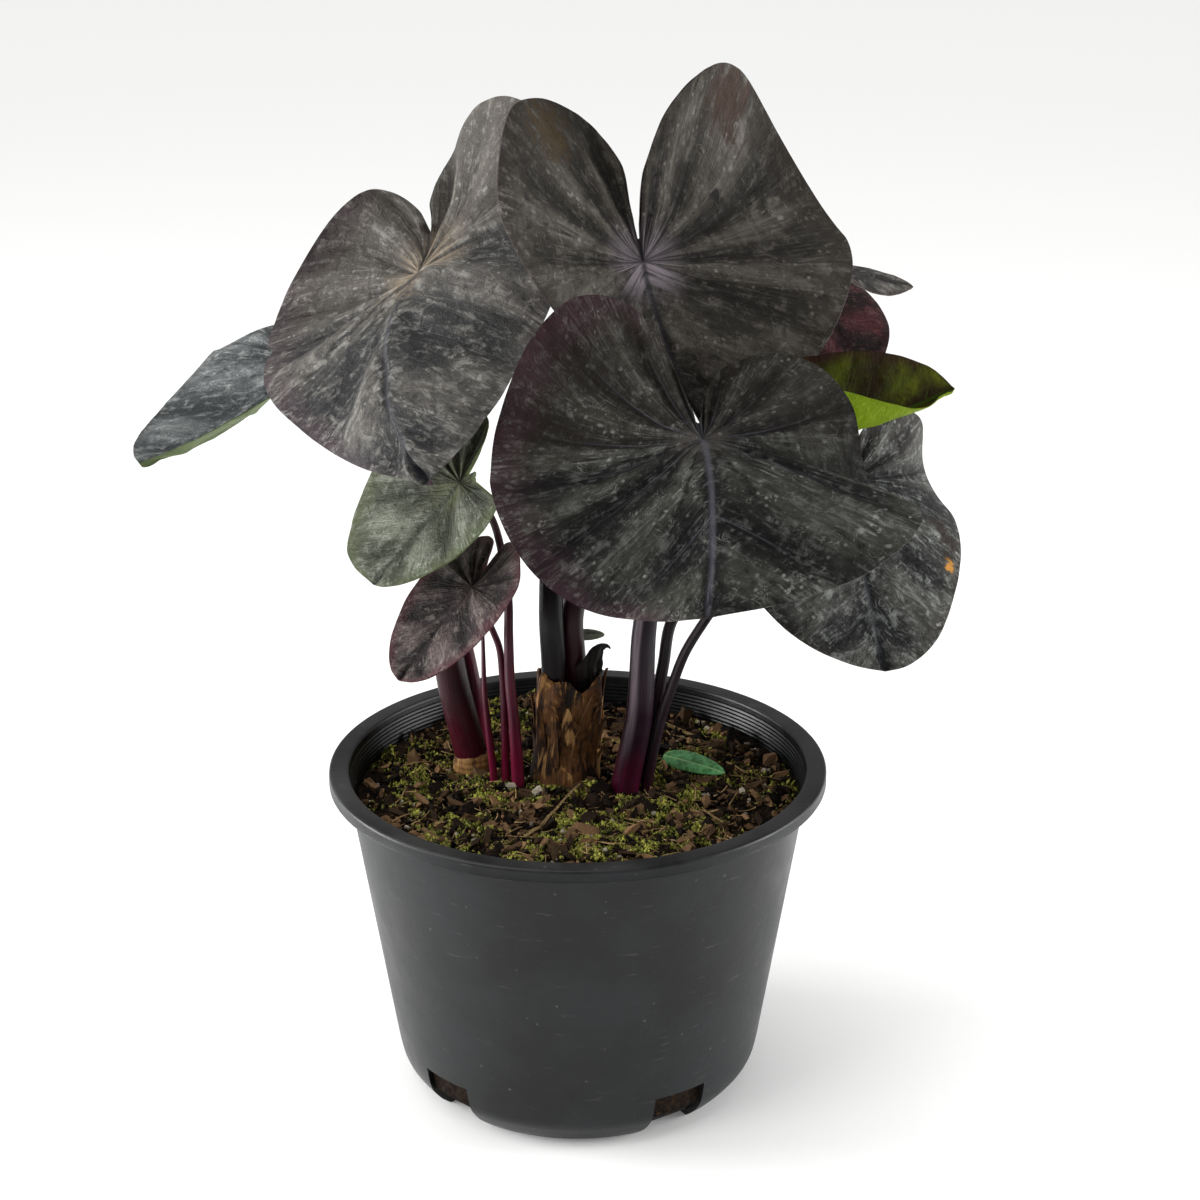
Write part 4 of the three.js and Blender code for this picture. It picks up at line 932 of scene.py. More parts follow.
LEAVES: tuple[LeafShape, ...] = (
    LeafShape(
        name="upper_left", at=(-68, 102, 322), aim=250, pitch=-15, roll=-42,
        tip=154, width=(82, 95), lobe=(71, 62), sinus=11, full=(0, -0.2), shut=(1.2, 1.1),
        droop=42, lift=(39, 100), fold_front=(-40, -3), fold_back=(27, 5), curl=(-34, 22),
        twist=7, sweep=-13, pleat=(0, 0, 12), quilt=2.4, wave=1.5, blunt=0.5,
        stem_radii=(6.9, 2.2), stem_taper=2.4,
        stem_via=((-43.6, 20, 112), (-44.6, 20.4, 130), (-53, 25.5, 166),
                  (-62, 39, 222), (-66.5, 58, 268), (-68, 79, 306)), gather=1.3, rumple=1.7,
    ),
    LeafShape(
        name="far_left", at=(-126, 144, 273), aim=239, pitch=-30, roll=-12,
        tip=100, width=(25, 51), lobe=(41, 20), sinus=12, full=(-0.1, 0.2), shut=(0.3, 0.3),
        droop=-32, lift=(27, 23), fold_front=(47, 27), fold_back=(13, 12), curl=(-20, -22),
        twist=-5, sweep=5, pleat=(0, 0, 12), quilt=0.8, wave=0.8, blunt=0,
        stem_radii=(3.1, 1.8), stem_taper=2,
        stem_via=((-41.5, 31.5, 104), (-42, 31.5, 130), (-45, 33, 165),
                  (-57, 50, 203), (-80, 86, 234), (-110, 122, 254)),
    ),
    LeafShape(
        name="top", at=(27, 78, 332), aim=291, pitch=-58, roll=-7,
        tip=73, width=(91, 83), lobe=(61, 66), sinus=10, full=(0.1, -0.3), shut=(0.5, 1),
        droop=44, lift=(76, -12), fold_front=(25, 31), fold_back=(-47, 42), curl=(19, 2),
        twist=8, sweep=-15, pleat=(0, 0, 12), quilt=1, wave=1.2, blunt=0,
        stem_radii=(5.2, 3), stem_taper=2.4,
        stem_via=((-9.5, 7, 150), (-9.8, 7, 178), (-11, 8.5, 206), (-8, 34, 252), (8, 64, 300)),
    ),
    LeafShape(
        name="front", at=(48, -42, 290), aim=276, pitch=-10, roll=-6,
        tip=86, width=(65, 82), lobe=(47, 77), sinus=13, full=(0.7, 0.2), shut=(0.1, 0.1),
        droop=57, lift=(27, 63), fold_front=(-27, -8), fold_back=(4, -31), curl=(-12, 27),
        twist=-30, sweep=8, pleat=(-88, 21, 12), quilt=1, wave=1, blunt=0.8,
        stem_radii=(5.9, 2.2), stem_taper=2.4,
        stem_via=((19.3, -1, 104), (19.4, -1, 126), (25, -1, 161), (27.2, -3, 203), (37, -20, 254)),
    ),
    LeafShape(
        name="right", at=(112, 30, 252), aim=276, pitch=-53, roll=18,
        tip=85, width=(67, 66), lobe=(31, 45), sinus=6, full=(-0.1, 0.1), shut=(0.3, 0.3),
        droop=8, lift=(26, 21), fold_front=(13, 8), fold_back=(-8, 8), curl=(-43, -37),
        twist=-7, sweep=-8, pleat=(-103, 12, 13), quilt=0.9, wave=1, blunt=0.9,
        stem_radii=(2.8, 1.9), stem_taper=1.6,
        stem_via=((26.5, 5.4, 104), (26.6, 5.4, 130), (31.5, 6, 158.5), (35, 6.4, 180),
                  (38.5, 8, 199), (52, 16, 214), (88, 36, 230)),
    ),
    LeafShape(
        name="back_right", at=(104, 134, 303), aim=-11, pitch=-56, roll=-33,
        tip=42, width=(44, 42), lobe=(39, 34), sinus=6, full=(0.3, 0), shut=(0.3, 0.3),
        droop=-6, lift=(27, 22), fold_front=(0, 5), fold_back=(-1, 10), curl=(-40, -15),
        twist=-11, sweep=-4, pleat=(0, 0, 12), quilt=0.7, wave=0.8, blunt=0,
        stem_radii=(4.9, 2), stem_taper=2.4,
        stem_via=((-1.5, 13.5, 150), (-1.5, 13.5, 178), (-1.6, 15, 203),
                  (22, 48, 240), (56, 88, 258), (86, 116, 284)),
    ),
    LeafShape(
        name="slim_right", at=(102, 114, 321), aim=17, pitch=-9, roll=-6,
        tip=48, width=(13, 21), lobe=(17, 12), sinus=5, full=(0.1, 0.1), shut=(0.3, 0.3),
        droop=10, lift=(19, 20), fold_front=(11, -3), fold_back=(13, 43), curl=(-22, -3),
        twist=-20, sweep=0, pleat=(0, 0, 12), quilt=0.4, wave=0.4, blunt=0,
        stem_radii=(2.2, 1.3), stem_taper=1.6,
        stem_via=((-7.4, 20.5, 150), (-7.4, 20.5, 174), (-5, 26, 210),
                  (6, 50, 242), (28, 78, 274), (74, 92, 306)),
    ),
    LeafShape(
        name="unfurling", at=(96, 16, 275), aim=20, pitch=6, roll=-16,
        tip=68, width=(33, 33), lobe=(18, 16), sinus=3, full=(0.2, -0.3), shut=(0.3, 0.3),
        droop=0, lift=(22, 24), fold_front=(51, 65), fold_back=(50, 80), curl=(2, 21),
        twist=-10, sweep=-10, pleat=(0, 0, 12), quilt=0.3, wave=0.3, blunt=0,
        stem_radii=(2.3, 1.6), stem_taper=1.6,
        stem_via=((28.4, -0.3, 104), (28.6, -0.3, 128), (34.4, 1.2, 159), (37.8, 1.5, 170), (43.5, 1, 187),
                  (52, 0, 202.5), (64, -8, 224), (76, -8, 244), (89, 4, 262)),
    ),
    LeafShape(
        name="small_left", at=(-47, 10, 257), aim=209, pitch=-46, roll=5,
        tip=57, width=(42, 50), lobe=(8, 30), sinus=8, full=(-0.1, 0.4), shut=(0.3, 0.3),
        droop=1, lift=(20, -7), fold_front=(-4, 1), fold_back=(41, 28), curl=(-10, -15),
        twist=1, sweep=6, pleat=(0, 0, 12), quilt=0.6, wave=0.6, blunt=0.9,
        stem_radii=(2.9, 1.3), stem_taper=1.1,
        stem_via=((-24.7, 0.5, 104), (-24.9, 0.5, 130), (-26.4, 1, 158), (-27.9, 2, 176),
                  (-28.2, 3.5, 192), (-28.6, 8, 212), (-34, 16, 238)),
    ),
    LeafShape(
        name="small_low", at=(-42, -5, 218), aim=219, pitch=-40, roll=-4,
        tip=50, width=(32, 31), lobe=(23, 23), sinus=14, full=(0.2, 0), shut=(0.3, 0.3),
        droop=2, lift=(32, 6), fold_front=(12, 20), fold_back=(15, -1), curl=(-5, -12),
        twist=10, sweep=2, pleat=(0, 0, 12), quilt=0.6, wave=0.6, blunt=0.6,
        stem_radii=(2, 1.2), stem_taper=1,
        stem_via=((-30.1, 3.4, 104), (-30.1, 3.4, 130), (-30.4, 4.1, 161), (-31, 5, 176),
                  (-32, 4.5, 188), (-34.7, 2.5, 197), (-38.5, -1.2, 208)),
    ),
)


# ---- Stems


@dataclass(frozen=True)
class StemFinish:
    """Living leaf stem: a smooth, waxy crimson-black skin, streaked lengthwise where its fibres run, with a
    painted highlight in a stripe along one side.
    """

    name: str
    foot: str = "#4a0f22"
    middle: str = "#2e0f1c"
    top: str = "#1d1216"
    streak: str = "#6b1f38"
    middle_at: float = 0.06
    top_at: float = 0.16
    roughness: float = 0.34
    highlight_share: float = 0.12
    highlight_at: float = 0.42
    highlight_tone: str = "#a3949c"

    def material(self) -> bpy.types.Material:
        """Builds the stem material from the distance along the stem and the share around it."""
        p = Patterns(self.name)
        stem = p.uv("stem")
        along, around, _ = p.split(stem)
        # Fibres about 0.7 mm wide and 30 mm long, over blushes about 12 mm long
        fibres = p.noise(p.scaled(stem, (35.0, 28.0, 1.0)), 1.0, 4.0, 0.6)
        blush = p.noise(p.scaled(stem, (80.0, 3.0, 1.0)), 1.0, 3.0)
        shifted = p.math("ADD", along, p.math("MULTIPLY", p.math("SUBTRACT", fibres, 0.5), 0.05))
        colour = p.mix(p.ramp(shifted, 0.02, self.middle_at), linear(self.foot), linear(self.middle))
        colour = p.mix(p.ramp(shifted, self.middle_at, self.top_at), colour, linear(self.top))
        colour = p.mix(p.ramp(fibres, 0.5, 0.75, 0.0, 0.55), colour, linear(self.streak))
        colour = p.mix(p.ramp(blush, 0.55, 0.75, 0.0, 0.35), colour, linear(self.top))
        # A painted highlight runs along one side, in a stripe about a tenth of the way round
        off = p.math("ABSOLUTE", p.math("SUBTRACT", around, self.highlight_at))
        highlight_tone = p.math("MULTIPLY", p.ramp(off, 0.015, 0.075, self.highlight_share, 0.0),
                     p.ramp(fibres, 0.3, 0.6, 0.5, 1.0))
        highlight_tone = p.math("MULTIPLY", highlight_tone, p.ramp(along, 0.03, 0.08))
        colour = p.mix(highlight_tone, colour, linear(self.highlight_tone))
        roughness = p.ramp(blush, 0.3, 0.7, self.roughness - 0.06, self.roughness + 0.1)
        normal = p.bump(fibres, 0.0003, 0.8)
        return p.finish(colour, roughness, normal, Specular_IOR_Level=0.2)


@dataclass
class LeafStem:
    """A leaf's stem: a smooth tapered tube, flared where it joins the blade and grooved on its inner side."""

    shape: LeafShape
    finish: StemFinish
    sides: int = 22
    rings: int = 110

    def surface(self) -> Surface:
        """The tube: its radius falls from foot to top with the share of the way raised to the taper."""
        path = self.shape.stem_path(self.rings)
        walked = walked_along(path)
        share = walked / walked[-1]
        foot, top = self.shape.stem_radii
        radii = foot + (top - foot) * share**self.shape.stem_taper
        radii = radii * (1 + 0.25 * np.exp(-(((walked[-1] - walked) / 5) ** 2)))
        turn = full_turn(self.sides)[None, :]
        groove = 1 - 0.16 * np.exp(-(((turn - np.pi / 2) / 0.4) ** 2)) * smooth_step(share, 0.1, 0.5)[:, None]
        ribs = 1 + 0.012 * np.sin(9 * turn + 2 * share[:, None]) + 0.01 * np.sin(17 * turn)
        return tube_surface(path, radii, self.sides, groove * ribs)

    def build(self) -> bpy.types.Object:
        """Makes the stem in place of the plain one."""
        name, node = f"{self.shape.name}_stem", f"stem_{self.shape.name}"
        return add_piece(self.surface(), name, self.finish.material(), [node], SKIN_ANGLE)


# ---- Pot


@dataclass(frozen=True)
class PotPlastic:
    """Injection-moulded black polypropylene: satin from a spark-eroded mould, greyed by handling and dust."""

    body: str = "#08090a"
    worn: str = "#191b1d"
    dust: str = "#6a6a64"
    roughness: float = 0.34

    def material(self) -> bpy.types.Material:
        """Builds the pot material."""
        p = Patterns("black_polypropylene")
        place = p.place()
        _, _, z = p.split(place)
        clouds = p.noise(place, 22.0, 5.0, 0.6)
        colour = p.mix(p.ramp(clouds, 0.35, 0.68), linear(self.body), linear(self.worn))
        scuffs = p.noise(p.scaled(place, (60.0, 60.0, 420.0)), 1.0, 5.0, 0.7)
        colour = p.mix(p.ramp(scuffs, 0.6, 0.8, 0.0, 0.35), colour, linear(self.dust))
        near, tone = p.cells(place, 260.0)
        size, _, _ = p.split(tone)
        specks = p.math("MULTIPLY", p.ramp(near, 0.08, 0.2, 1.0, 0.0), p.ramp(size, 0.86, 0.98))
        colour = p.mix(p.math("MULTIPLY", specks, 0.4), colour, linear(self.dust))
        rim = p.ramp(z, 0.1385, 0.1402)
        rubbed = p.math("MULTIPLY", rim, p.ramp(clouds, 0.3, 0.7, 0.0, 0.14))
        colour = p.mix(rubbed, colour, linear(self.dust))
        roughness = p.ramp(clouds, 0.3, 0.7, self.roughness - 0.05, self.roughness + 0.12)
        # The mould's grain is 0.2 mm, drawn at 0.7 mm so that it shows
        grain = p.noise(place, 1500.0, 2.0)
        normal = p.bump(grain, 0.00012, 0.6)
        normal = p.bump(clouds, 0.0009, 0.5, normal)
        return p.finish(colour, roughness, normal, Specular_IOR_Level=0.28)


@dataclass
class NurseryPot:
    """A squat round pot with a rolled rim, a raised foot ring and drain notches. Lengths in millimetres."""

    height: float = 140.0
    rim_radius: float = 102.5
    rim_inner: float = 94.4
    lip: float = 5.4
    wall: float = 2.0
    body_top: float = 95.6
    body_low: float = 76.8
    corner: float = 18.0
    foot: float = 64.5
    foot_width: float = 3.5
    floor_raise: float = 4.5
    pad: float = 38.0
    notch_width: float = 24.0
    notch_height: float = 22.0
    notch_angles: tuple[float, ...] = (45.0, 123.0, 225.5, 303.0)
    ring_pitch: float = 1.6
    ring_depth: float = 0.12
    ringed: float = 15.0
    longest_run: float = 6.0
    corner_points: int = 6
    sharp_angle: float = 28.0
    columns: int = 216

    def inner_radius(self, height: Array | float) -> Array:
        """Radius of the wall's inner face at a height."""
        low = self.body_low - self.wall
        share = (np.asarray(height, float) - self.corner - 2) / (self.height - 0.8 - self.corner - 2)
        return low + (self.rim_inner - low) * share

    def profile(self) -> Array:
        """Radius and height round the wall, from the underside's centre out, up, over the rim and back in.

        Each corner is rounded by a quadratic curve that leaves the two sides at the corner's fillet.
        """
        under = self.height - self.lip
        edge = self.rim_radius - self.wall
        in_low = self.body_low - self.wall
        corners = np.array([
            (0, 0, 0), (self.pad, 0, 0.8), (self.pad + 3, self.floor_raise, 0.8),
            (self.foot - self.foot_width, self.floor_raise, 0.6), (self.foot - self.foot_width, 0, 0.5),
            (self.foot + 0.3, 0, 0.9), (self.foot + 5.5, 4.2, 3.0), (self.body_low - 1.6, 11.0, 4.0),
            (self.body_low, self.corner, 4.0), (self.body_top, self.height - self.wall, 0.8),
            (edge, self.height - self.wall, 0.5), (edge, under, 0.6), (self.rim_radius, under, 0.7),
            (self.rim_radius, self.height, 1.5), (self.rim_inner, self.height, 1.2),
            (in_low, self.corner + 2, 4.0), (in_low - 4, self.floor_raise + 6, 3.0),
            (66, self.floor_raise + self.wall, 2.0), (self.pad + 1, self.floor_raise + self.wall, 0.8),
            (self.pad - 2, self.wall + 0.2, 0.8), (0, self.wall + 0.2, 0)], float)
        point, fillet = corners[:, :2], corners[:, 2]
        way = np.diff(point, axis=0)
        length = np.linalg.norm(way, axis=1)
        way /= length[:, None]
        reach = np.minimum(fillet[1:-1], 0.45 * np.minimum(length[:-1], length[1:]))[:, None]
        start, end, middle = point[1:-1] - way[:-1] * reach, point[1:-1] + way[1:] * reach, point[1:-1]
        t = np.linspace(0.0, 1.0, self.corner_points)[None, :, None]
        curves = start[:, None] * (1 - t) ** 2 + middle[:, None] * 2 * t * (1 - t) + end[:, None] * t**2
        return np.vstack([point[:1], curves.reshape(-1, 2), point[-1:]])

    def turned(self) -> Surface:
        """The pot before its notches: the profile turned about Z, with long straight runs cut finer."""
        profile = self.profile()
        walked = walked_along(profile)
        rim = walked[np.argmin(np.hypot(profile[:, 0] - self.rim_inner, profile[:, 1] - self.height + 1.2))]
        ringed = np.arange(rim, rim + self.ringed, self.ring_pitch / 4)
        places = np.unique(np.round(np.r_[walked, np.arange(0.0, walked[-1], self.longest_run), ringed], 3))
        places = places[np.r_[True, np.diff(places) > 0.02]]
        radius, height = np.interp(places, walked, profile[:, 0]), np.interp(places, walked, profile[:, 1])
        # Fine level rings are moulded round the inside of the upper wall
        inside = (places > walked[-1] * 0.5) & (height > 118.0)
        rings = self.ring_depth * np.sin(2 * np.pi * height / self.ring_pitch)
        radius = radius + inside * rings * smooth_step(137.5 - height, 0.0, 1.0)
        turn = full_turn(self.columns)[None, :]
        level = np.broadcast_to(height[:, None], (len(height), self.columns))
        points = np.stack([radius[:, None] * np.sin(turn), -radius[:, None] * np.cos(turn), level], axis=-1)
        return closed_grid(points, {})

    def notch_cutter(self, angle: float, near: float, low: float, high: float) -> bpy.types.Object:
        """A box that points outwards at an angle, from the near radius and between two heights."""
        corner = np.array([(x, y, z) for x in (near, 90.0) for y in (-0.5, 0.5) for z in (low, high)])
        corner[:, 1] *= self.notch_width
        c, s = np.cos(np.radians(angle)), np.sin(np.radians(angle))
        out, aside, level = corner.T
        turned = np.stack([out * c - aside * s, out * s + aside * c, level], 1)
        faces = np.array([(0, 1, 3, 2), (4, 6, 7, 5), (0, 4, 5, 1), (2, 3, 7, 6), (0, 2, 6, 4), (1, 5, 7, 3)])
        mesh = bpy.data.meshes.new("notch")
        mesh.from_pydata((turned * MM).tolist(), [], faces.tolist())
        cutter = bpy.data.objects.new("notch", mesh)
        bpy.context.scene.collection.objects.link(cutter)
        return cutter

    def build(self) -> bpy.types.Object:
        """Turns the pot, cuts its notches and hands it to the frame."""
        finish = PotPlastic().material()
        piece = add_piece(self.turned(), "nursery_pot", finish, ["pot"], self.sharp_angle)
        cutters = [self.notch_cutter(angle, near, -1.0, high) for angle in self.notch_angles
                   for near, high in ((65.5, self.notch_height), (58.0, self.floor_raise - 0.1))]
        for cutter in cutters:
            cut = piece.modifiers.new("notch", "BOOLEAN")
            cut.operation, cut.solver, cut.object = "DIFFERENCE", "EXACT", cutter
        bpy.context.view_layer.update()
        depsgraph = bpy.context.evaluated_depsgraph_get()
        cut_mesh = bpy.data.meshes.new_from_object(piece.evaluated_get(depsgraph))
        piece.modifiers.clear()
        piece.data = cut_mesh
        cut_mesh.polygons.foreach_set("use_smooth", np.ones(len(cut_mesh.polygons), bool))
        cut_mesh.set_sharp_from_angle(angle=np.radians(self.sharp_angle))
        for cutter in cutters:
            bpy.data.objects.remove(cutter, do_unlink=True)
        return piece


# ---- Potting mix


@dataclass(frozen=True)
class MixFinish:
    """Potting mix: damp composted bark and coir, dark, matt and crumbly, greened by moss in places."""

    dark: str = "#0b0705"
    brown: str = "#2a1d12"
    tan: str = "#6b5333"
    green: str = "#55601f"

    def material(self) -> bpy.types.Material:
        """Builds the potting mix material."""
        p = Patterns("composted_bark_mix")
        place = p.place()
        crumbs = p.noise(place, 420.0, 6.0, 0.7)
        clouds = p.noise(place, 45.0, 4.0, 0.6)
        colour = p.mix(p.ramp(crumbs, 0.38, 0.62), linear(self.dark), linear(self.brown))
        colour = p.mix(p.ramp(crumbs, 0.6, 0.75, 0.0, 0.7), colour, linear(self.tan))
        mossy = p.math("MULTIPLY", p.value("moss"), p.ramp(clouds, 0.3, 0.6))
        mossy = p.math("MULTIPLY", mossy, p.ramp(crumbs, 0.35, 0.6, 0.1, 0.8))
        colour = p.mix(mossy, colour, linear(self.green))
        normal = p.bump(crumbs, 0.0016, 1.0)
        return p.finish(colour, 0.9, normal, Specular_IOR_Level=0.1)


@dataclass(frozen=True)
class CrumbFinish:
    """Loose bits on the mix: each bit takes its own shade between two colours, with a fine grain over it that
    carries painted glints.
    """

    name: str
    dark: str
    light: str
    glint: str
    roughness: float = 0.85
    grain: float = 700.0

    def material(self) -> bpy.types.Material:
        """Builds the material from each bit's stored shade."""
        p = Patterns(self.name)
        place = p.place()
        shade = p.value("shade")
        colour = p.mix(shade, linear(self.dark), linear(self.light))
        fine = p.noise(place, self.grain, 4.0, 0.6)
        # Glints on the grain's high points are a painted highlight
        colour = p.mix(p.ramp(fine, 0.5, 0.75, 0.0, 0.5), colour, linear(self.glint))
        colour = p.mix(p.ramp(fine, 0.25, 0.5, 0.45, 0.0), colour, linear(self.dark))
        normal = p.bump(fine, 0.0005, 0.8)
        return p.finish(colour, self.roughness, normal, Specular_IOR_Level=0.1)


def scattered(shape: Array, corners: Array, places: Array, turns: Array, sizes: Array, jitter: Array,
              shades: Array) -> Surface:
    """Many copies of a small closed shape, each sized, bent out of true, turned and set in place.

    Args:
        shape: Vertices of the shape, (v, 3), about its centre.
        corners: Its triangles.
        places: Centre of each copy, (n, 3).
        turns: Rotation matrix of each copy, (n, 3, 3), applied to column vectors.
        sizes: Factors on its three axes, (n, 3).
        jitter: Offsets of each copy's vertices before sizing, (n, v, 3).
        shades: One number for each copy.

    Returns:
        One surface with a corner value "shade".
    """
    points = (shape[None] + jitter) * sizes[:, None]
    points = np.einsum("nij,nvj->nvi", turns, points) + places[:, None]
    count = len(shape)
    faces = corners[None] + (np.arange(len(places)) * count)[:, None, None]
    shade = np.repeat(shades, corners.size)
    return Surface(points.reshape(-1, 3), faces.reshape(-1, 3), corner_values={"shade": shade})


def many_tubes(points: Array) -> Surface:
    """Many small closed tubes, each end closed by a fan.

    Args:
        points: Rings of each tube, of shape (tubes, rings, sides, 3).

    Returns:
        One surface.
    """
    count, rings, sides, _ = points.shape
    body = grid_quads(rings, sides, wrap=True)[:, [[0, 2, 1], [0, 3, 2]]].reshape(-1, 3)
    fan = np.array([(0, i, i + 1) for i in range(1, sides - 1)])
    one = np.vstack([body, fan, (rings - 1) * sides + fan[:, ::-1]])
    faces = one[None] + (np.arange(count) * rings * sides)[:, None, None]
    return Surface(points.reshape(-1, 3), faces.reshape(-1, 3))


def turned_about(heading: Array, tilt: Array, roll: Array) -> Array:
    """Rotation matrices that roll about X, tilt about Y and then turn about Z, angles in radians."""
    cz, cy, cx = np.cos(heading), np.cos(tilt), np.cos(roll)
    sz, sy, sx = np.sin(heading), np.sin(tilt), np.sin(roll)
    zero, one = np.zeros_like(cz), np.ones_like(cz)
    about_z = np.stack([cz, -sz, zero, sz, cz, zero, zero, zero, one], -1).reshape(-1, 3, 3)
    about_y = np.stack([cy, zero, sy, zero, one, zero, -sy, zero, cy], -1).reshape(-1, 3, 3)
    about_x = np.stack([one, zero, zero, zero, cx, -sx, zero, sx, cx], -1).reshape(-1, 3, 3)
    return about_z @ about_y @ about_x


# A chip: a slab of two hexagons, its upper one smaller. A bud: an octahedron.
HEXAGON = full_turn(6)
CHIP_POINTS = np.vstack([
    np.stack([0.5 * np.cos(HEXAGON), 0.5 * np.sin(HEXAGON), np.full(6, -0.5)], 1),
    np.stack([0.42 * np.cos(HEXAGON + 0.2), 0.42 * np.sin(HEXAGON + 0.2), np.full(6, 0.5)], 1)])
CHIP_FACES = np.array([(0, 2, 1), (0, 3, 2), (0, 4, 3), (0, 5, 4)]
                      + [(6, 7, 8), (6, 8, 9), (6, 9, 10), (6, 10, 11)]
                      + [(i, (i + 1) % 6, 6 + (i + 1) % 6) for i in range(6)]
                      + [(i, 6 + (i + 1) % 6, 6 + i) for i in range(6)])
BUD_POINTS = np.array([(0.5, 0, 0), (-0.5, 0, 0), (0, 0.5, 0), (0, -0.5, 0), (0, 0, 0.5), (0, 0, -0.5)])
BUD_FACES = np.array([(0, 2, 4), (2, 1, 4), (1, 3, 4), (3, 0, 4), (2, 0, 5), (1, 2, 5), (3, 1, 5), (0, 3, 5)])


@dataclass
class PottingMix:
    """The mix that fills the pot, with bark chips, fibres, moss and grit over its surface.

    Attributes:
        pot: The pot that it fills.
        standing: Feet of stems and corms, each as its place and radius, kept free of bits.
        level: Height of the surface before its mound and lumps.
        clearance: Gap to the pot's wall.
        chips: How many bark chips are drawn; fibres, moss_bits and grit count those bits.
        straws: Placed straws, each as its two ends and its radius.
        pebbles: Placed pebbles, each as its place and width.
    """

    pot: NurseryPot
    standing: tuple[tuple[float, float, float], ...]
    level: float = 126.0
    clearance: float = 0.35
    chips: int = 3400
    fibres: int = 460
    moss_bits: int = 14000
    grit: int = 170
    rings: int = 150
    columns: int = 288
    fibre_rings: int = 8
    fibre_sides: int = 4
    straws: tuple[tuple[float, float, float, float, float], ...] = (
        (-20.5, -52.3, 0.5, -6.0, 0.9), (-32.0, -58.0, -14.0, -38.0, 0.7), (45.7, -23.4, 58.7, -23.4, 0.8),
        (51.4, -24.4, 58.8, -39.4, 0.7), (35.1, 66.6, 55.8, 54.4, 1.3), (62.0, 24.0, 70.0, 12.0, 0.6))
    pebbles: tuple[tuple[float, float, float], ...] = (
        (-28.8, -6.1, 4.2), (-16.8, -9.1, 4.6), (67.9, -4.9, 3.6))

    def height(self, x: Array, y: Array) -> Array:
        """Height of the mix: a low mound, a rise at the back left, and small lumps."""
        mound = 3 * np.exp(-((x + 8) ** 2 + (y - 8) ** 2) / 42**2)
        back_rise = 7 * np.exp(-((x + 26) ** 2 + (y - 82) ** 2) / 34**2)
        lumps = np.sin(x / 7 + 0.6) * np.cos(y / 6) + 0.6 * np.sin(x / 3.1 + y / 4.3)
        return self.level + mound + back_rise + lumps

    def fine_height(self, x: Array, y: Array) -> Array:
        """The same surface with crumbs: noise 5 mm, 2.4 mm and 1.2 mm wide."""
        crumbs = 0.9 * lattice_noise(x + 300, y + 300, 5.2, Seed.LARGE_CRUMBS)
        crumbs = crumbs + 0.5 * lattice_noise(x + 300, y + 300, 2.4, Seed.MIDDLE_CRUMBS)
        return self.height(x, y) + crumbs + 0.3 * lattice_noise(x + 300, y + 300, 1.2, Seed.SMALL_CRUMBS)

    def moss_cover(self, x: Array, y: Array) -> Array:
        """Where moss grows, from 0 to 1: in patches, most along the front and round the stems."""
        patches = lattice_noise(x + 500, y + 500, 16.0, Seed.MOSS_PATCHES)
        patches = smooth_step(patches + 0.5 * lattice_noise(x, y, 6.0, Seed.MOSS_TUFTS), -0.5, 0.45)
        front = smooth_step(-y, -30.0, 30.0) * 0.75 + 0.4
        return np.clip(1.3 * patches * front * (1 - 0.55 * smooth_step(x, 25.0, 70.0)), 0.0, 1.0)

    def bed(self) -> Surface:
        """The body of the mix: rows run from under the middle out, up the wall, and in over the top."""
        low = np.array([(0.0, 2.6), (34.0, 2.6), (39.0, 6.9), (66.0, 6.9),
                        (73.0, 11.0), (74.4, 20.0), (82.0, 66.0)])
        top_radius = self.pot.inner_radius(self.level) - self.clearance
        ring = np.linspace(1.0, 0.0, self.rings) * top_radius
        turn = full_turn(self.columns)[None, :]
        x, y = ring[:, None] * np.sin(turn), -ring[:, None] * np.cos(turn)
        z = self.fine_height(x, y)
        edge = self.pot.inner_radius(z[0]) - self.clearance
        x[0], y[0] = edge * np.sin(turn[0]), -edge * np.cos(turn[0])
        z[-1] = z[-1].mean()
        wall_x, wall_y = low[:, :1] * np.sin(turn), -low[:, :1] * np.cos(turn)
        wall_z = np.broadcast_to(low[:, 1:], wall_x.shape)
        points = np.stack([np.vstack([wall_x, x]), np.vstack([wall_y, y]), np.vstack([wall_z, z])], axis=-1)
        bed = closed_grid(points, {})
        x, y, z = bed.vertices[bed.faces].reshape(-1, 3).T
        bed.corner_values["moss"] = self.moss_cover(x, y) * (z > self.level - 8.0)
        return bed

    def spots(self, random: np.random.Generator, count: int, reach: float, inner: float = 0.0) -> Array:
        """Places spread evenly over the mix between two radii."""
        radius = np.sqrt(random.uniform(inner**2, reach**2, count))
        angle = random.uniform(0, 2 * np.pi, count)
        return np.stack([radius * np.cos(angle), radius * np.sin(angle)], axis=1)

    def clear(self, spot: Array, margin: Array | float) -> NDArray[np.bool_]:
        """Whether each place is clear of the feet that stand in the mix by a margin."""
        feet = np.array(self.standing, float)
        gap = np.linalg.norm(spot[:, None] - feet[None, :, :2], axis=-1) - feet[None, :, 2]
        return gap.min(axis=1) > margin

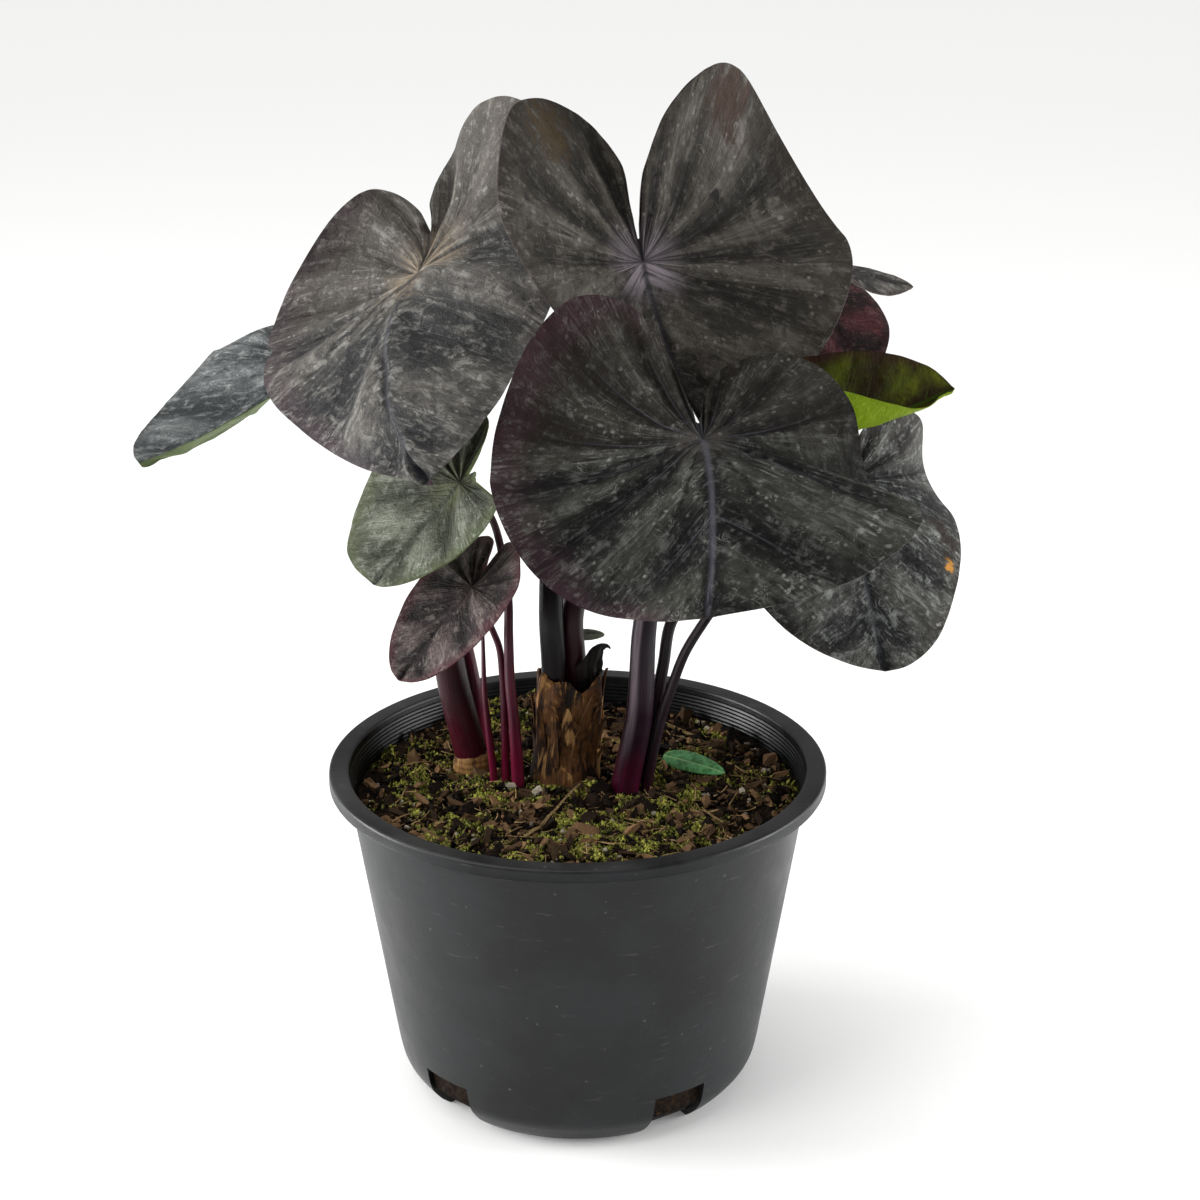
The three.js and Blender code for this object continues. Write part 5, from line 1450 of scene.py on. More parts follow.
    def chip_layer(self) -> Surface:
        """Bark chips from chunky crumbs of 1.8 mm to flakes of 11 mm, lying at odd tilts."""
        random = np.random.default_rng(Seed.CHIPS)
        spot = self.spots(random, self.chips, 89.0)
        length = 1.5 + 9.5 * random.uniform(0, 1, self.chips) ** 4.5
        spot = spot / np.maximum(np.linalg.norm(spot, axis=1) / (91.0 - length / 2), 1.0)[:, None]
        kept = self.clear(spot, 0.35 * length)
        spot, length = spot[kept], length[kept]
        count = len(spot)
        sizes = np.stack([length, length * random.uniform(0.22, 0.75, count),
                          0.7 + 0.14 * length * random.uniform(0.6, 1.2, count)], axis=1)
        turns = turned_about(random.uniform(0, 2 * np.pi, count), random.normal(0, 0.5, count),
                             random.normal(0, 0.5, count))
        height = self.height(spot[:, 0], spot[:, 1]) + random.uniform(0.3, 1.5, count) + 0.25 * sizes[:, 2]
        jitter = random.normal(0, 0.1, (count, len(CHIP_POINTS), 3))
        shade = random.uniform(0, 1, count) ** 3.2
        places = np.column_stack([spot, height])
        return scattered(CHIP_POINTS, CHIP_FACES, places, turns, sizes, jitter, shade)

    def moss_layer(self) -> Surface:
        """Moss as tiny pointed buds in tufts, thickest where the cover is full."""
        random = np.random.default_rng(Seed.MOSS)
        many = self.spots(random, self.moss_bits * 5, 90.0)
        cover = self.moss_cover(many[:, 0], many[:, 1])
        spot = many[(random.uniform(0, 1, len(many)) < cover * 0.9) & self.clear(many, 0.5)][: self.moss_bits]
        count = len(spot)
        length = random.uniform(1.0, 2.9, count)
        sizes = np.stack([length * 0.7, length * 0.6, length], axis=1)
        turns = turned_about(random.uniform(0, 2 * np.pi, count), random.normal(0, 0.5, count),
                             random.normal(0, 0.5, count))
        height = self.fine_height(spot[:, 0], spot[:, 1]) + random.uniform(0.2, 1.4, count)
        jitter = random.normal(0, 0.1, (count, len(BUD_POINTS), 3))
        lit = lattice_noise(spot[:, 0] + 200, spot[:, 1] + 200, 4.0, Seed.MOSS_LIGHT)
        shade = np.clip(random.normal(0.42, 0.26, count) + 0.35 * lit, 0, 1)
        return scattered(BUD_POINTS, BUD_FACES, np.column_stack([spot, height]), turns, sizes, jitter, shade)

    def grit_layer(self) -> Surface:
        """Pebbles at set places, then pale grains of grit about 1 to 2 mm across."""
        random = np.random.default_rng(Seed.GRIT)
        stones = np.array(self.pebbles, float)
        spot = np.vstack([stones[:, :2], self.spots(random, self.grit, 88.0)])
        width = np.r_[stones[:, 2], random.uniform(0.7, 2.3, self.grit)]
        kept = self.clear(spot, width / 2)
        spot, width = spot[kept], width[kept]
        count = len(spot)
        size = width[:, None] * random.uniform(0.8, 1.2, (count, 3))
        turns = turned_about(*(random.uniform(0, 2 * np.pi, count) for _ in range(3)))
        height = self.height(spot[:, 0], spot[:, 1]) + 0.7 + 0.25 * width
        jitter = random.normal(0, 0.06, (count, len(CHIP_POINTS), 3))
        return scattered(CHIP_POINTS, CHIP_FACES, np.column_stack([spot, height]), turns, size, jitter,
                         random.uniform(0, 1, count))

    def fibre_layer(self) -> Surface:
        """Straws at set places, then coir fibres and twigs: thin tubes bent in an arc, most lying flat.

        A point along a fibre is its middle plus s times its heading plus the bend times s squared
        to one side, where s runs from minus to plus half its length.
        """
        random = np.random.default_rng(Seed.FIBRES)
        ends = np.array(self.straws, float)
        along = ends[:, 2:4] - ends[:, :2]
        middle = self.spots(random, self.fibres, 80.0, 14.0)
        middle = np.vstack([ends[:, :2] + along / 2, middle[self.clear(middle, 3.0)]])
        count, few = len(middle), len(ends)
        length = np.r_[np.linalg.norm(along, axis=1), random.uniform(4, 14, count - few)]
        heading = np.r_[np.arctan2(along[:, 1], along[:, 0]), random.uniform(0, 2 * np.pi, count - few)]
        s = np.linspace(-0.5, 0.5, self.fibre_rings)[None, :] * length[:, None]
        bend = random.normal(0, 0.02, count)[:, None] * s**2
        bend[:few] *= 0.15
        way = np.stack([np.cos(heading), np.sin(heading)], 1)
        side = np.stack([-way[:, 1], way[:, 0]], 1)
        xy = middle[:, None] + way[:, None] * s[..., None] + side[:, None] * bend[..., None]
        distance = np.linalg.norm(xy, axis=-1, keepdims=True)
        xy = xy * np.minimum(1.0, 90.0 / distance)
        z = self.height(xy[..., 0], xy[..., 1]) + random.uniform(1.0, 2.8, count)[:, None]
        z[:few] += 0.6
        z = z + np.abs(s) * random.normal(0.0, 0.06, count)[:, None].clip(0)
        thick = np.r_[ends[:, 4], random.uniform(0.14, 0.4, count - few)][:, None]
        thick = thick * (1 - 0.5 * (s / length[:, None] + 0.5))
        angle = full_turn(self.fibre_sides)
        ring = side[:, None, None] * (thick[..., None, None] * np.cos(angle)[None, None, :, None])
        level = z[:, :, None, None] + thick[..., None, None] * np.sin(angle)[None, None, :, None]
        points = np.concatenate([xy[:, :, None] + ring, level], -1)
        tubes = many_tubes(points)
        tubes.corner_values["shade"] = np.repeat(random.uniform(0, 1, count), tubes.faces.size // count)
        return tubes

    def build(self) -> None:
        """Makes the bed and the layers on it."""
        add_piece(self.bed(), "potting_mix", MixFinish().material(), ["soil"], SKIN_ANGLE)
        bark = CrumbFinish("composted_bark", "#0d0806", "#8e6e4e", "#3c2c20")
        add_piece(self.chip_layer(), "bark_chips", bark.material(), sharp_angle=30.0)
        coir = CrumbFinish("coir_fibre", "#2a1c10", "#a88c60", "#c4b084", grain=500.0)
        add_piece(self.fibre_layer(), "fibres", coir.material(), sharp_angle=SKIN_ANGLE)
        moss = CrumbFinish("sheet_moss", "#1e260a", "#b4b450", "#dcd888", 0.8, 900.0)
        add_piece(self.moss_layer(), "moss", moss.material(), sharp_angle=SKIN_ANGLE)
        grit = CrumbFinish("pumice_grit", "#5c5448", "#b8ae9a", "#dcd6c8", 0.8, 900.0)
        add_piece(self.grit_layer(), "grit", grit.material(), sharp_angle=40.0)


# ---- Corms


@dataclass(frozen=True)
class HuskFinish:
    """Dry corm husk: papery leaf bases that split into upright fibres, brown with torn tan edges."""

    name: str
    dark: str = "#150b06"
    brown: str = "#5e3c1e"
    tan: str = "#b98a54"

    def material(self) -> bpy.types.Material:
        """Builds the husk material from the place in the plant."""
        p = Patterns(self.name)
        place = p.place()
        # Papery folds are about 5 mm wide and 20 mm long, with fibres under 1 mm wide in them
        strips = p.noise(p.scaled(place, (170.0, 170.0, 50.0)), 1.0, 6.0, 0.6, 1.6)
        patches = p.noise(place, 60.0, 4.0, 0.6)
        colour = p.mix(p.ramp(patches, 0.42, 0.56), linear(self.dark), linear(self.brown))
        colour = p.mix(p.ramp(strips, 0.52, 0.66, 0.0, 0.85), colour, linear(self.tan))
        colour = p.mix(p.ramp(strips, 0.38, 0.48, 0.85, 0.0), colour, linear(self.dark))
        normal = p.bump(strips, 0.0014, 1.0)
        return p.finish(colour, p.ramp(strips, 0.3, 0.7, 0.6, 0.85), normal, Specular_IOR_Level=0.25)


@dataclass
class CentreCorm:
    """The centre stub: a papery sheath of old leaf bases that leans to the right, torn at its top."""

    low: tuple[float, float] = (-6.3, 12.0)
    high: tuple[float, float] = (-3.0, 12.0)
    half: tuple[float, float] = (13.2, 13.5)
    foot: float = 104.0
    top: float = 175.0
    rows: int = 120
    columns: int = 200
    strips: int = 20
    strip_rings: int = 14

    def centre(self, height: Array) -> tuple[Array, Array]:
        """Place of the axis at a height."""
        rise = (np.asarray(height, float) - self.foot) / (self.top - self.foot)
        return (self.low[0] + (self.high[0] - self.low[0]) * rise,
                self.low[1] + (self.high[1] - self.low[1]) * rise)

    def edge(self, turn: Array) -> Array:
        """Radius of the rounded rectangle that the sheath's section is, for each angle."""
        dx, dy = np.abs(np.cos(turn)) / self.half[0], np.abs(np.sin(turn)) / self.half[1]
        return 1 / np.cbrt(dx**3 + dy**3)

    def surface(self) -> Surface:
        """The stub from its foot up, over the torn rim and down to the sunk core.

        The radius is the section's edge, times the row's share, times wrinkles: sines of the angle and
        row, fibre ridges of noise in the angle, and dents of noise. Torn rows rise and fall with sines
        of the angle and with the fibres.
        """
        top = self.top
        rows = np.array([(0, self.foot, 0), (0.8, self.foot, 0), (1.06, top - 50, 0), (1.04, top - 42, 0),
                         (0.95, top - 27, 0), (1.03, top - 12, 0.3), (1, top - 1.5, 1),
                         (0.93, top - 0.5, 1), (0.84, top - 8, 0), (0.5, top - 9, 0), (0, top - 9, 0)], float)
        place = np.linspace(0.0, len(rows) - 1.0, self.rows)
        share, height, torn = (np.interp(place, np.arange(len(rows)), rows[:, k])[:, None] for k in range(3))
        turn = full_turn(self.columns)[None, :]
        row = 9.0 - place[:, None]
        round_x, round_y = 20 * np.cos(turn) + 60, 20 * np.sin(turn) + 60
        fibre = lattice_noise(round_x * 1.7, round_y * 1.7 + height / 26, 1.6, Seed.HUSK_FIBRES)
        dent = lattice_noise(round_x * 0.8 + height / 9, round_y * 0.8 + height * 0.45, 6.0,
                             Seed.HUSK_DENTS)
        wrinkle = 1.0 + 0.02 * (1 + np.sin(4 * turn + 1.3 * row)) + 0.016 * fibre + 0.07 * dent
        ragged = torn * (2.2 * np.sin(3 * turn + 2.1) + 1.6 * np.sin(7 * turn + 0.5) + 0.7 * fibre)
        radius = self.edge(turn) * share * wrinkle
        x, y = self.centre(height)
        level = height + ragged
        points = np.stack([x + radius * np.cos(turn), y + radius * np.sin(turn), level], axis=-1)
        points[0], points[-1] = points[0].mean(0), points[-1].mean(0)
        return closed_grid(points, {})

    def flaps(self) -> Surface:
        """Peeling strips of husk: thin curved ribbons against the stub, narrowed and curled out above."""
        random = np.random.default_rng(Seed.FLAPS)
        count, steps = self.strips, self.strip_rings
        angle = full_turn(count) + random.normal(0, 0.1, count)
        foot = random.uniform(127, 152, count)
        length = random.uniform(12, 30, count)
        # The first strip is the broad torn flap at the front
        angle[0], foot[0], length[0] = -1.35, 148.5, 11.0
        t = np.linspace(0, 1, steps)[None, :]
        z = foot[:, None] + length[:, None] * t
        z = np.minimum(z, self.top - 2.0)
        sway = angle[:, None] + random.normal(0, 0.09, count)[:, None] * t
        out = self.edge(sway) * 1.05 + 0.4 + random.uniform(0.3, 3.4, count)[:, None] * t**2.6
        half = np.r_[4.6, random.uniform(2.0, 4.8, count - 1)][:, None] * (1 - 0.8 * t**1.5)
        radial = np.stack([np.cos(sway), np.sin(sway), np.zeros_like(sway)], -1)
        tangent = np.stack([-np.sin(sway), np.cos(sway), np.zeros_like(sway)], -1)
        centre = radial * out[..., None]
        x, y = self.centre(z)
        centre = centre + np.stack([x, y, z], axis=-1)
        edges = [(-1, 0.25), (-0.5, 0.0), (0.5, 0.0), (1, 0.25),
                 (1, -0.25), (0.5, -0.5), (-0.5, -0.5), (-1, -0.25)]
        corner = lambda a, b: (centre + tangent * (half * a)[..., None]
                               - radial * (0.5 * abs(a) * half - b - 0.2)[..., None])
        ring = np.stack([corner(a, b) for a, b in edges[::-1]], axis=2)
        return many_tubes(ring)

    def build(self) -> None:
        """Makes the stub and its peeling strips."""
        husk = HuskFinish("dry_corm_husk")
        add_piece(self.surface(), "centre_corm", husk.material(), ["corm_centre"], 75.0)
        peel = HuskFinish("torn_corm_husk", "#2c190e", "#63401f", "#b98e5a")
        add_piece(self.flaps(), "corm_flaps", peel.material(), sharp_angle=60.0)


@dataclass
class LeftCorm:
    """The small corm under the thick left stem: a tan swelling ringed by old leaf scars."""

    at: tuple[float, float] = (-44.6, 20.4)
    radius: float = 8.6
    foot: float = 108.0
    top: float = 136.0
    rows: int = 80
    columns: int = 96

    def surface(self) -> Surface:
        """The swelling turned round its axis, with ring scars as sines of the height."""
        rows = np.array([(0, 0), (0.5, 0), (0.86, 0.2), (1, 0.6), (0.92, 0.86), (0.6, 1), (0, 1)], float)
        line = spline_through(rows, self.rows)
        turn = full_turn(self.columns)[None, :]
        height = self.foot + (self.top - self.foot) * line[:, 1:]
        scar = 0.02 * np.sin(height * 2.6 + 0.8 * np.sin(2 * turn)) + 0.02 * np.sin(7 * turn + height / 5)
        radius = self.radius * np.maximum(line[:, :1], 0) * (1 + scar)
        level = np.broadcast_to(height, radius.shape)
        points = np.stack([self.at[0] + radius * np.cos(turn), self.at[1] + radius * np.sin(turn), level],
                          axis=-1)
        return closed_grid(points, {})

    def build(self) -> bpy.types.Object:
        """Makes the swelling."""
        husk = HuskFinish("young_corm_husk", "#4a2f1c", "#8a6438", "#b48d58")
        return add_piece(self.surface(), "left_corm", husk.material(), ["corm_left"], SKIN_ANGLE)


# ---- The dried sheath, the spear, the sprout and the fallen leaf


@dataclass
class DriedSheath:
    """The black, withered base of an old leaf: broad and flat in the stub, hooked over at its tip.

    Attributes:
        rings: From the foot up, each oval's x, height, half width, half thickness and lean in degrees.
        facing: Heading of the ovals' width, in degrees.
    """

    rings: tuple[tuple[float, float, float, float, float], ...] = (
        (4.2, 163, 4, 1.1, 0), (4.3, 173, 4.7, 1.3, 0), (4.5, 177.6, 6, 1.4, 0), (5.9, 181, 4.6, 1.3, 3),
        (7.6, 184.2, 3.2, 1.1, 12), (9.6, 186.4, 2, 0.9, 40), (12, 186.2, 1, 0.7, 75),
        (13.4, 184.9, 0.5, 0.5, 105))
    facing: float = 26.0
    rows: int = 90
    columns: int = 48

    def surface(self) -> Surface:
        """Ovals along the path, their width and thickness crumpled by sines of the angle and way along."""
        x, z, half, thick, lean = spline_through(np.array(self.rings, float), self.rows).T[..., None]
        share = np.linspace(0.0, 1.0, self.rows)[:, None]
        turn = full_turn(self.columns)[None, :]
        crumple = 1 + 0.08 * np.sin(3 * turn + 11 * share) + 0.06 * np.sin(5 * turn - 23 * share)
        across = half * np.cos(turn) * crumple
        out = thick * (np.sin(turn) * crumple + 0.45 * np.sin(across * 1.5 + 9 * share))
        face, lean = np.radians(self.facing), np.radians(lean)
        points = np.stack([x + across * np.cos(face) * np.cos(lean) - out * np.sin(face),
                           8.5 + 0.48 * (x - 4.5) + across * np.sin(face) * np.cos(lean) + out * np.cos(face),
                           z - across * np.sin(lean)], axis=-1)
        pole = lambda row: np.repeat(points[row].mean(0)[None, None], self.columns, axis=1)
        return closed_grid(np.concatenate([pole(0), points, pole(-1)]), {})

    def build(self) -> bpy.types.Object:
        """Makes the sheath."""
        finish = HuskFinish("withered_sheath", "#0b0908", "#171210", "#2c221c").material()
        surface = self.surface()
        return add_piece(surface, "dried_sheath_skin", finish, ["dried_sheath"], SKIN_ANGLE)


@dataclass
class Spear:
    """A young leaf, still rolled up tight, in the left cluster of thin stems."""

    path: tuple[tuple[float, float, float], ...] = (
        (-34.8, 3, 104), (-34.9, 3, 130), (-37.2, 4, 155), (-38.3, 4.2, 169), (-38.6, 5, 189), (-39, 8, 206))
    radii: tuple[float, float] = (2.0, 0.5)
    rings: int = 120
    sides: int = 24

    def build(self) -> bpy.types.Object:
        """Makes the spear: a tapered tube with the rolled blade's edge as a groove that winds round it."""
        path = even_steps(spline_through(np.array(self.path, float), 400), self.rings)
        share = np.linspace(0.0, 1.0, self.rings)
        radii = self.radii[0] + (self.radii[1] - self.radii[0]) * share**1.2
        turn = full_turn(self.sides)[None, :]
        seam = (turn - 5.0 + 1.4 * share[:, None]) / 0.3
        tube = tube_surface(path, radii, self.sides, 1 - 0.16 * np.exp(-(seam**2)))
        return add_piece(tube, "rolled_leaf", CRIMSON.material(), ["spear"], SKIN_ANGLE)


@dataclass
class PointedBlade:
    """A small pointed leaf, tilted about its length and then turned to its heading, in degrees."""

    at: tuple[float, float, float]
    heading: float
    tilt: float
    length: float
    half: float
    sag: float
    thickness: float = 0.8
    rings: int = 14
    columns: int = 96

    def surface(self) -> Surface:
        """A grid over the leaf: x = L/2 cos(a), y = h sin(a) (1 - 0.25 cos(a)), times the share out.

        The ends sag by 4 s x^2 / L^2 and the midrib lies in a groove. Both faces meet at the margin.
        """
        turn = full_turn(self.columns)[None, :]
        share = np.r_[np.linspace(0, 1, self.rings), np.linspace(1, 0, self.rings)][:, None]
        x = 0.5 * self.length * np.cos(turn) * share
        y = self.half * np.sin(turn) * (1 - 0.25 * np.cos(turn)) * share
        side = np.r_[-np.ones(self.rings), np.ones(self.rings)][:, None]
        thick = 0.5 * self.thickness * (1 - 0.6 * share**4) * side
        veins = 0.04 * np.cos(2 * np.pi * (np.abs(y) * 0.9 - x) / 3.1) * smooth_step(np.abs(y), 0.2, 1.2)
        z = -4 * self.sag * x**2 / self.length**2 - 0.3 * np.exp(-((y / 0.45) ** 2)) + veins + thick
        tilt, heading = np.radians(self.tilt), np.radians(self.heading)
        flat_y, up = y * np.cos(tilt) - z * np.sin(tilt), y * np.sin(tilt) + z * np.cos(tilt)
        placed = np.stack([x * np.cos(heading) - flat_y * np.sin(heading) + self.at[0],
                           x * np.sin(heading) + flat_y * np.cos(heading) + self.at[1],
                           up + self.at[2]], axis=-1)
        flat = np.stack([np.hstack([x, x[:, :1]]), np.hstack([y, y[:, :1]])], axis=-1) * MM
        return closed_grid(placed, {"flat": flat})


@dataclass(frozen=True)
class FreshLeafFinish:
    """A small living leaf: satin, with a pale midrib and faint pale side veins."""

    name: str
    dark: str
    light: str
    rib: str

    def material(self) -> bpy.types.Material:
        """Builds the leaf material from the flat place on the blade."""
        p = Patterns(self.name)
        flat = p.uv("flat")
        along, aside, _ = p.split(flat)
        across = p.math("ABSOLUTE", aside)
        clouds = p.noise(flat, 260.0, 4.0)
        colour = p.mix(p.ramp(clouds, 0.35, 0.65), linear(self.dark), linear(self.light))
        # Side veins stand 3.1 mm apart
        slanted = p.math("SUBTRACT", p.math("MULTIPLY", across, 0.9), along)
        vein = p.math("PINGPONG", p.math("DIVIDE", slanted, 0.0031), 0.5)
        colour = p.mix(p.ramp(vein, 0.0, 0.12, 0.35, 0.0), colour, linear(self.rib))
        colour = p.mix(p.ramp(across, 0.0001, 0.0005, 0.85, 0.0), colour, linear(self.rib))
        normal = p.bump(p.noise(flat, 1500.0), 0.0002, 0.8)
        return p.finish(colour, p.ramp(clouds, 0.3, 0.7, 0.35, 0.5), normal, Specular_IOR_Level=0.3)


@dataclass
class FallenLeaf:
    """The loose green leaf that lies on the mix with its far edge raised."""

    blade: PointedBlade = field(
        default_factory=lambda: PointedBlade((48.5, 17.5, 131.1), -36.0, 30.0, 31.0, 4.9, 0.7))

    def build(self) -> bpy.types.Object:
        """Makes the leaf."""
        finish = FreshLeafFinish("fresh_green_leaf", "#2a6a2e", "#58a060", "#92bc80").material()
        surface = self.blade.surface()
        return add_piece(surface, "fallen_leaf_blade", finish, ["fallen_leaf"], SKIN_ANGLE)


@dataclass
class Sprout:
    """A tiny grey-green leaf on a thin stem of its own, behind the centre stems."""

    path: tuple[tuple[float, float, float], ...] = ((1.6, 22, 160), (1.6, 22, 178), (1, 22, 187.2))
    radii: tuple[float, float] = (0.9, 0.7)
    rings: int = 30
    sides: int = 14
    blade: PointedBlade = field(
        default_factory=lambda: PointedBlade((4.6, 22, 187.3), 0.0, 34.0, 13.0, 2.8, 0.0))

    def build(self) -> None:
        """Makes the blade and its stem."""
        finish = FreshLeafFinish("grey_green_leaf", "#5c6454", "#7c8470", "#8c947e").material()
        add_piece(self.blade.surface(), "sprout_blade", finish, ["sprout"], SKIN_ANGLE)
        path = even_steps(spline_through(np.array(self.path, float), 100), self.rings)
        stem = tube_surface(path, np.linspace(*self.radii, self.rings), self.sides)
        skin = StemFinish("sprout_stem_skin", "#3a3a2c", "#4a5040", "#525a48", "#5c6450")
        add_piece(stem, "sprout_stem", skin.material(), sharp_angle=SKIN_ANGLE)


# ---- Studio


@dataclass
class Studio:
    """Camera, light and floor. The camera looks down by its pitch from the front, in metres and degrees."""

    camera_at: tuple[float, float, float] = (0.00916, -0.93849, 0.5560)
    pitch: float = 20.2
    lens: float = 74.31
    sensor: float = 36.0
    sky_light: float = 0.34
    sun_light: float = 1.7
    sun_spread: float = 75.0
    floor_side: float = 12000.0

    def camera(self) -> None:
        """Creates the camera at the picture's viewing angle."""
        camera = bpy.data.cameras.new("camera")
        camera.lens, camera.sensor_width = self.lens, self.sensor
        camera.clip_end = 30.0
        holder = bpy.data.objects.new("camera", camera)
        holder.location = self.camera_at
        holder.rotation_euler = (np.radians(90 - self.pitch), 0.0, 0.0)
        bpy.context.scene.collection.objects.link(holder)
        bpy.context.scene.camera = holder

    def light(self, name: str, at: Sequence[float], size: float, watts: float,
              target: Sequence[float]) -> None:
        """Adds a square softbox that points at a target."""
        lamp = bpy.data.lights.new(name, "AREA")
        lamp.shape, lamp.size, lamp.energy = "SQUARE", size, watts
        holder = bpy.data.objects.new(name, lamp)
        way = np.array(target, float) - np.array(at, float)
        holder.location = tuple(at)
        tilt = np.arccos(-way[2] / np.linalg.norm(way))
        holder.rotation_euler = (tilt, 0.0, np.arctan2(way[1], way[0]) - np.pi / 2)
        bpy.context.scene.collection.objects.link(holder)

    def floor(self) -> None:
        """A wide pale floor, smooth and matt, that runs far behind the plant."""
        p = Patterns("studio_paper")
        grain = p.noise(p.place(), 300.0, 2.0)
        colour = p.mix(p.ramp(grain, 0.3, 0.7), linear("#f4f4f3"), linear("#f8f8f7"))
        finish = p.finish(colour, 0.8, Emission_Strength=0.1)
        side = self.floor_side
        points = np.array([(-side, -side, 0), (side, -side, 0), (side, side, 0), (-side, side, 0)], float)
        floor = Surface(points, np.array([(0, 1, 2, 3)])).to_object("floor", finish)

    def build(self) -> None:
        """Sets up the whole studio."""
        scene = bpy.context.scene
        self.camera()
        world = bpy.data.worlds.new("studio")
        world.use_nodes = True
        world.node_tree.nodes["Background"].inputs["Color"].default_value = (1.0, 1.0, 1.0, 1.0)
        world.node_tree.nodes["Background"].inputs["Strength"].default_value = self.sky_light
        scene.world = world
        scene.view_settings.view_transform = "Standard"
        sky = bpy.data.lights.new("overhead", "SUN")
        sky.energy, sky.angle = self.sun_light, np.radians(self.sun_spread)
        holder = bpy.data.objects.new("overhead", sky)
        holder.rotation_euler = (np.radians(-8.0), np.radians(-14.0), 0.0)
        scene.collection.objects.link(holder)
        self.light("key", (-1.3, -1.0, 1.3), 0.9, 12.0, (0.0, 0.0, 0.25))
        self.light("left_side", (-1.3, 0.1, 0.35), 0.7, 22.0, (0.0, 0.0, 0.15))
        self.light("right_side", (1.3, 0.0, 0.35), 0.6, 16.0, (0.0, 0.0, 0.15))
        self.floor()


# ---- The plant

BLADE_FINISHES: dict[str, BladeFinish] = {
    "upper_left": BladeFinish(
        "upper_left_leaf", "#232322", "#4a4743", "#0c0b0d", "#34242b", "#34343a", "#a2a099", 0.72, 0.36,
        "#a8977f", 0.036, gloss=0.25, margin_side=1.0,
        valleys=((4, 5, 75), (150, 8, 75), (-120, 6, 75), (70, 4, 75), (28, 5, 140), (48, 4, 140)),
        marks=((41.0, 70.0, 5.0, "#16171a"), (0.0, -30.0, 4.0, "#2a1d18")), lobe="#554f47", lobe_share=0.5,
        margin_tint=0.7),
    "far_left": BladeFinish(
        "far_left_leaf", "#3e4243", "#5e6161", "#222627", "#33302c", "#2c3134", "#b0b4b2", 0.8, 0.4,
        "#5f6458", 0.016, "#66783e", "#4a5a2c", gloss=0.25, margin_from=1.05),
    "top": BladeFinish(
        "top_leaf", "#302d28", "#4a4640", "#161310", "#2a241e", "#222126", "#a39e96", 0.5, 0.16,
        "#9c929a", 0.024, margin_from=0.95, depth=0.55, valleys=((-60, 5, 60), (120, 9, 60), (-118, 6, 70)),
        marks=((-42.6, -22.0, 4.5, "#0c0908"), (43.0, -50.0, 17.0, "#3f3322"),
               (-60.0, -45.0, 14.0, "#3a2a22"))),
    "front": BladeFinish(
        "front_leaf", "#1a1b18", "#34342f", "#020203", "#38222a", "#484850", "#9a9b96", 0.66, 0.17,
        "#5c5650", 0.018, gloss=0.08, margin_from=0.92, margin_side=1.0,
        valleys=((84, 12, 150), (48, 8, 80), (20, 5, 75), (-24, 5, 75), (-66, 8, 80), (-82, 4, 200)),
        margin_tint=0.7, depth=0.8, lobe="#211b14", lobe_share=0.5, lobe_dust=0.65),
    "right": BladeFinish(
        "right_leaf", "#232423", "#464642", "#0a0a0b", "#2e2620", "#3c3e42", "#acb0ac", 0.7, 0.38,
        "#3c3b39", 0.014, margin_from=1.0, valleys=((-70, 9, 75), (60, 8, 75), (5, 4, 75)), depth=0.8,
        marks=((-42.9, 33.8, 3.4, "#c88a34"), (-46.0, 20.0, 9.0, "#241a14")), lobe="#241d18", lobe_share=0.5),
    "back_right": BladeFinish(
        "back_right_leaf", "#1c080b", "#3a161b", "#0b0304", "#16070a", "#22090c", "#7a5a56", 0.3, 0.2,
        "#3a2024", 0.012, "#33131a", "#4a1a22", gloss=0.08),
    "slim_right": BladeFinish(
        "slim_right_leaf", "#4a4844", "#66625c", "#2c2a28", "#33201f", "#2c2a2a", "#a8a6a2", 0.5, 0.4,
        "#5c5a54", 0.012, "#5a5a54", "#6a4a50"),
    "small_left": BladeFinish(
        "small_left_leaf", "#444739", "#64685a", "#242818", "#424a2c", "#34382e", "#a2a69a", 0.75, 0.3,
        "#6c7250", 0.02, "#65763a", "#8a9a50", gloss=0.2, depth=0.7, valleys=((100, 14, 60), (-30, 5, 50))),
    "small_low": BladeFinish(
        "small_low_leaf", "#3a3132", "#584c4a", "#181213", "#4a262c", "#241c1e", "#a0968f", 0.55, 0.33,
        "#5a4a48", 0.014, "#4a262e", "#7a2a44"),
    "unfurling": BladeFinish(
        "unfurling_leaf", "#2c2e04", "#4a5206", "#1a1002", "#24080c", "#30440a", "#8c9c40", 0.03, 0.03,
        "#5c6c14", 0.016, "#6c8414", "#8aa030", 0.45, 0.03, 0.96),
}
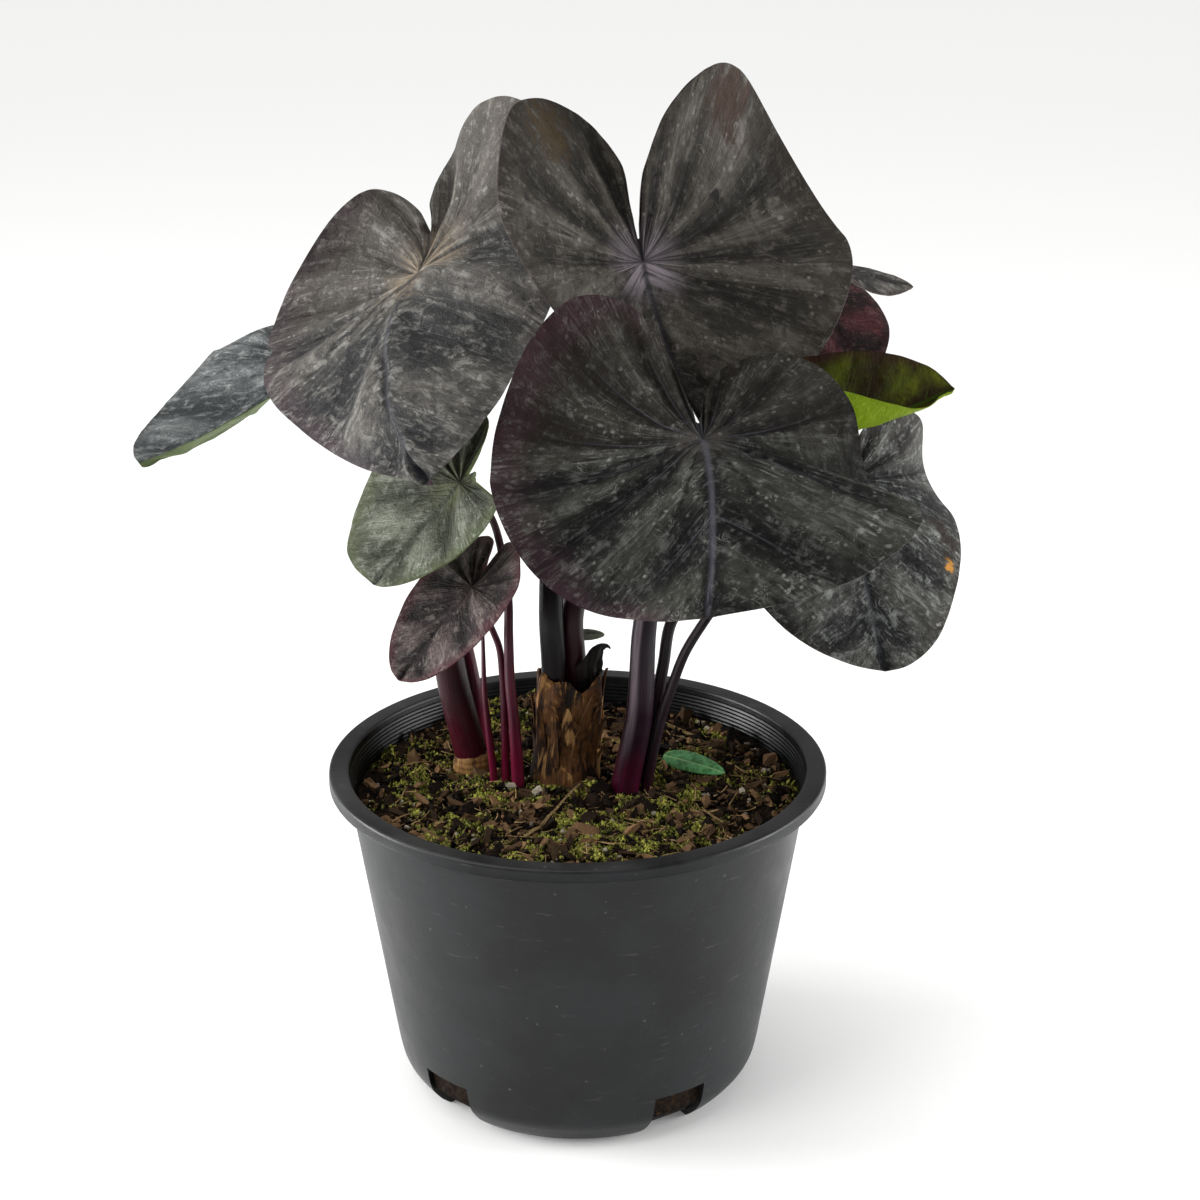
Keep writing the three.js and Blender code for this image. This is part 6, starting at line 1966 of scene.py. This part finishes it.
STEM_FINISHES: dict[str, StemFinish] = {
    "upper_left": StemFinish(
        "thick_crimson_stem", "#420c1a", "#2a0812", "#0c0508", "#4c1424", 0.05, 0.12, highlight_share=0.0),
    "front": StemFinish(
        "highlight_striped_stem", "#4a0c26", "#200c18", "#160d16", "#3a2434", 0.045, 0.1, highlight_share=0.4),
    "top": StemFinish(
        "black_stem", "#140508", "#060304", "#050303", "#16080c", 0.04, 0.1, highlight_share=0.03),
    "back_right": StemFinish(
        "maroon_stem", "#2e0a16", "#16060b", "#0a0406", "#380e1e", 0.08, 0.12, highlight_share=0.04),
    "right": StemFinish(
        "dark_crimson_stem", "#420c20", "#1c070f", "#0c0508", "#4a1226", 0.04, 0.09, highlight_share=0.08),
    "unfurling": StemFinish(
        "slender_dark_stem", "#2e0c18", "#241820", "#120a0e", "#3c2c34", 0.04, 0.1, highlight_share=0.2),
}
# Feet of the centre stub, the left corm and the spear, each as its place and radius
OTHER_FEET = ((-5.5, 12.0, 14.5), (-44.6, 20.4, 9.2), (-34.9, 3.0, 2.2))
CRIMSON = StemFinish("crimson_stem", "#6e1232", "#4a0d24", "#200a12", "#8c2444", 0.06, 0.12, highlight_share=0.2)


def main() -> None:
    """Loads the frame, sets up the studio and builds each part of the plant in order."""
    logging.basicConfig(level=logging.INFO, format="%(name)s: %(message)s")
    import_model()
    Studio().build()
    pot = NurseryPot()
    pot.build()
    feet = [(*shape.stem_via[1][:2], shape.stem_radii[0]) for shape in LEAVES]
    PottingMix(pot, (*feet, *OTHER_FEET)).build()
    CentreCorm().build()
    LeftCorm().build()
    DriedSheath().build()
    Spear().build()
    Sprout().build()
    FallenLeaf().build()
    for shape in LEAVES:
        mesh = BladeMesh.SMALL if shape.tip < SMALL_TIP else BladeMesh.LARGE
        slot = "young_leaf" if shape.name == "unfurling" else "dark_leaf"
        LeafBlade(shape, BLADE_FINISHES[shape.name], slot, mesh).build()
        LeafStem(shape, STEM_FINISHES.get(shape.name, CRIMSON)).build()


if __name__ == "__main__":
    main()
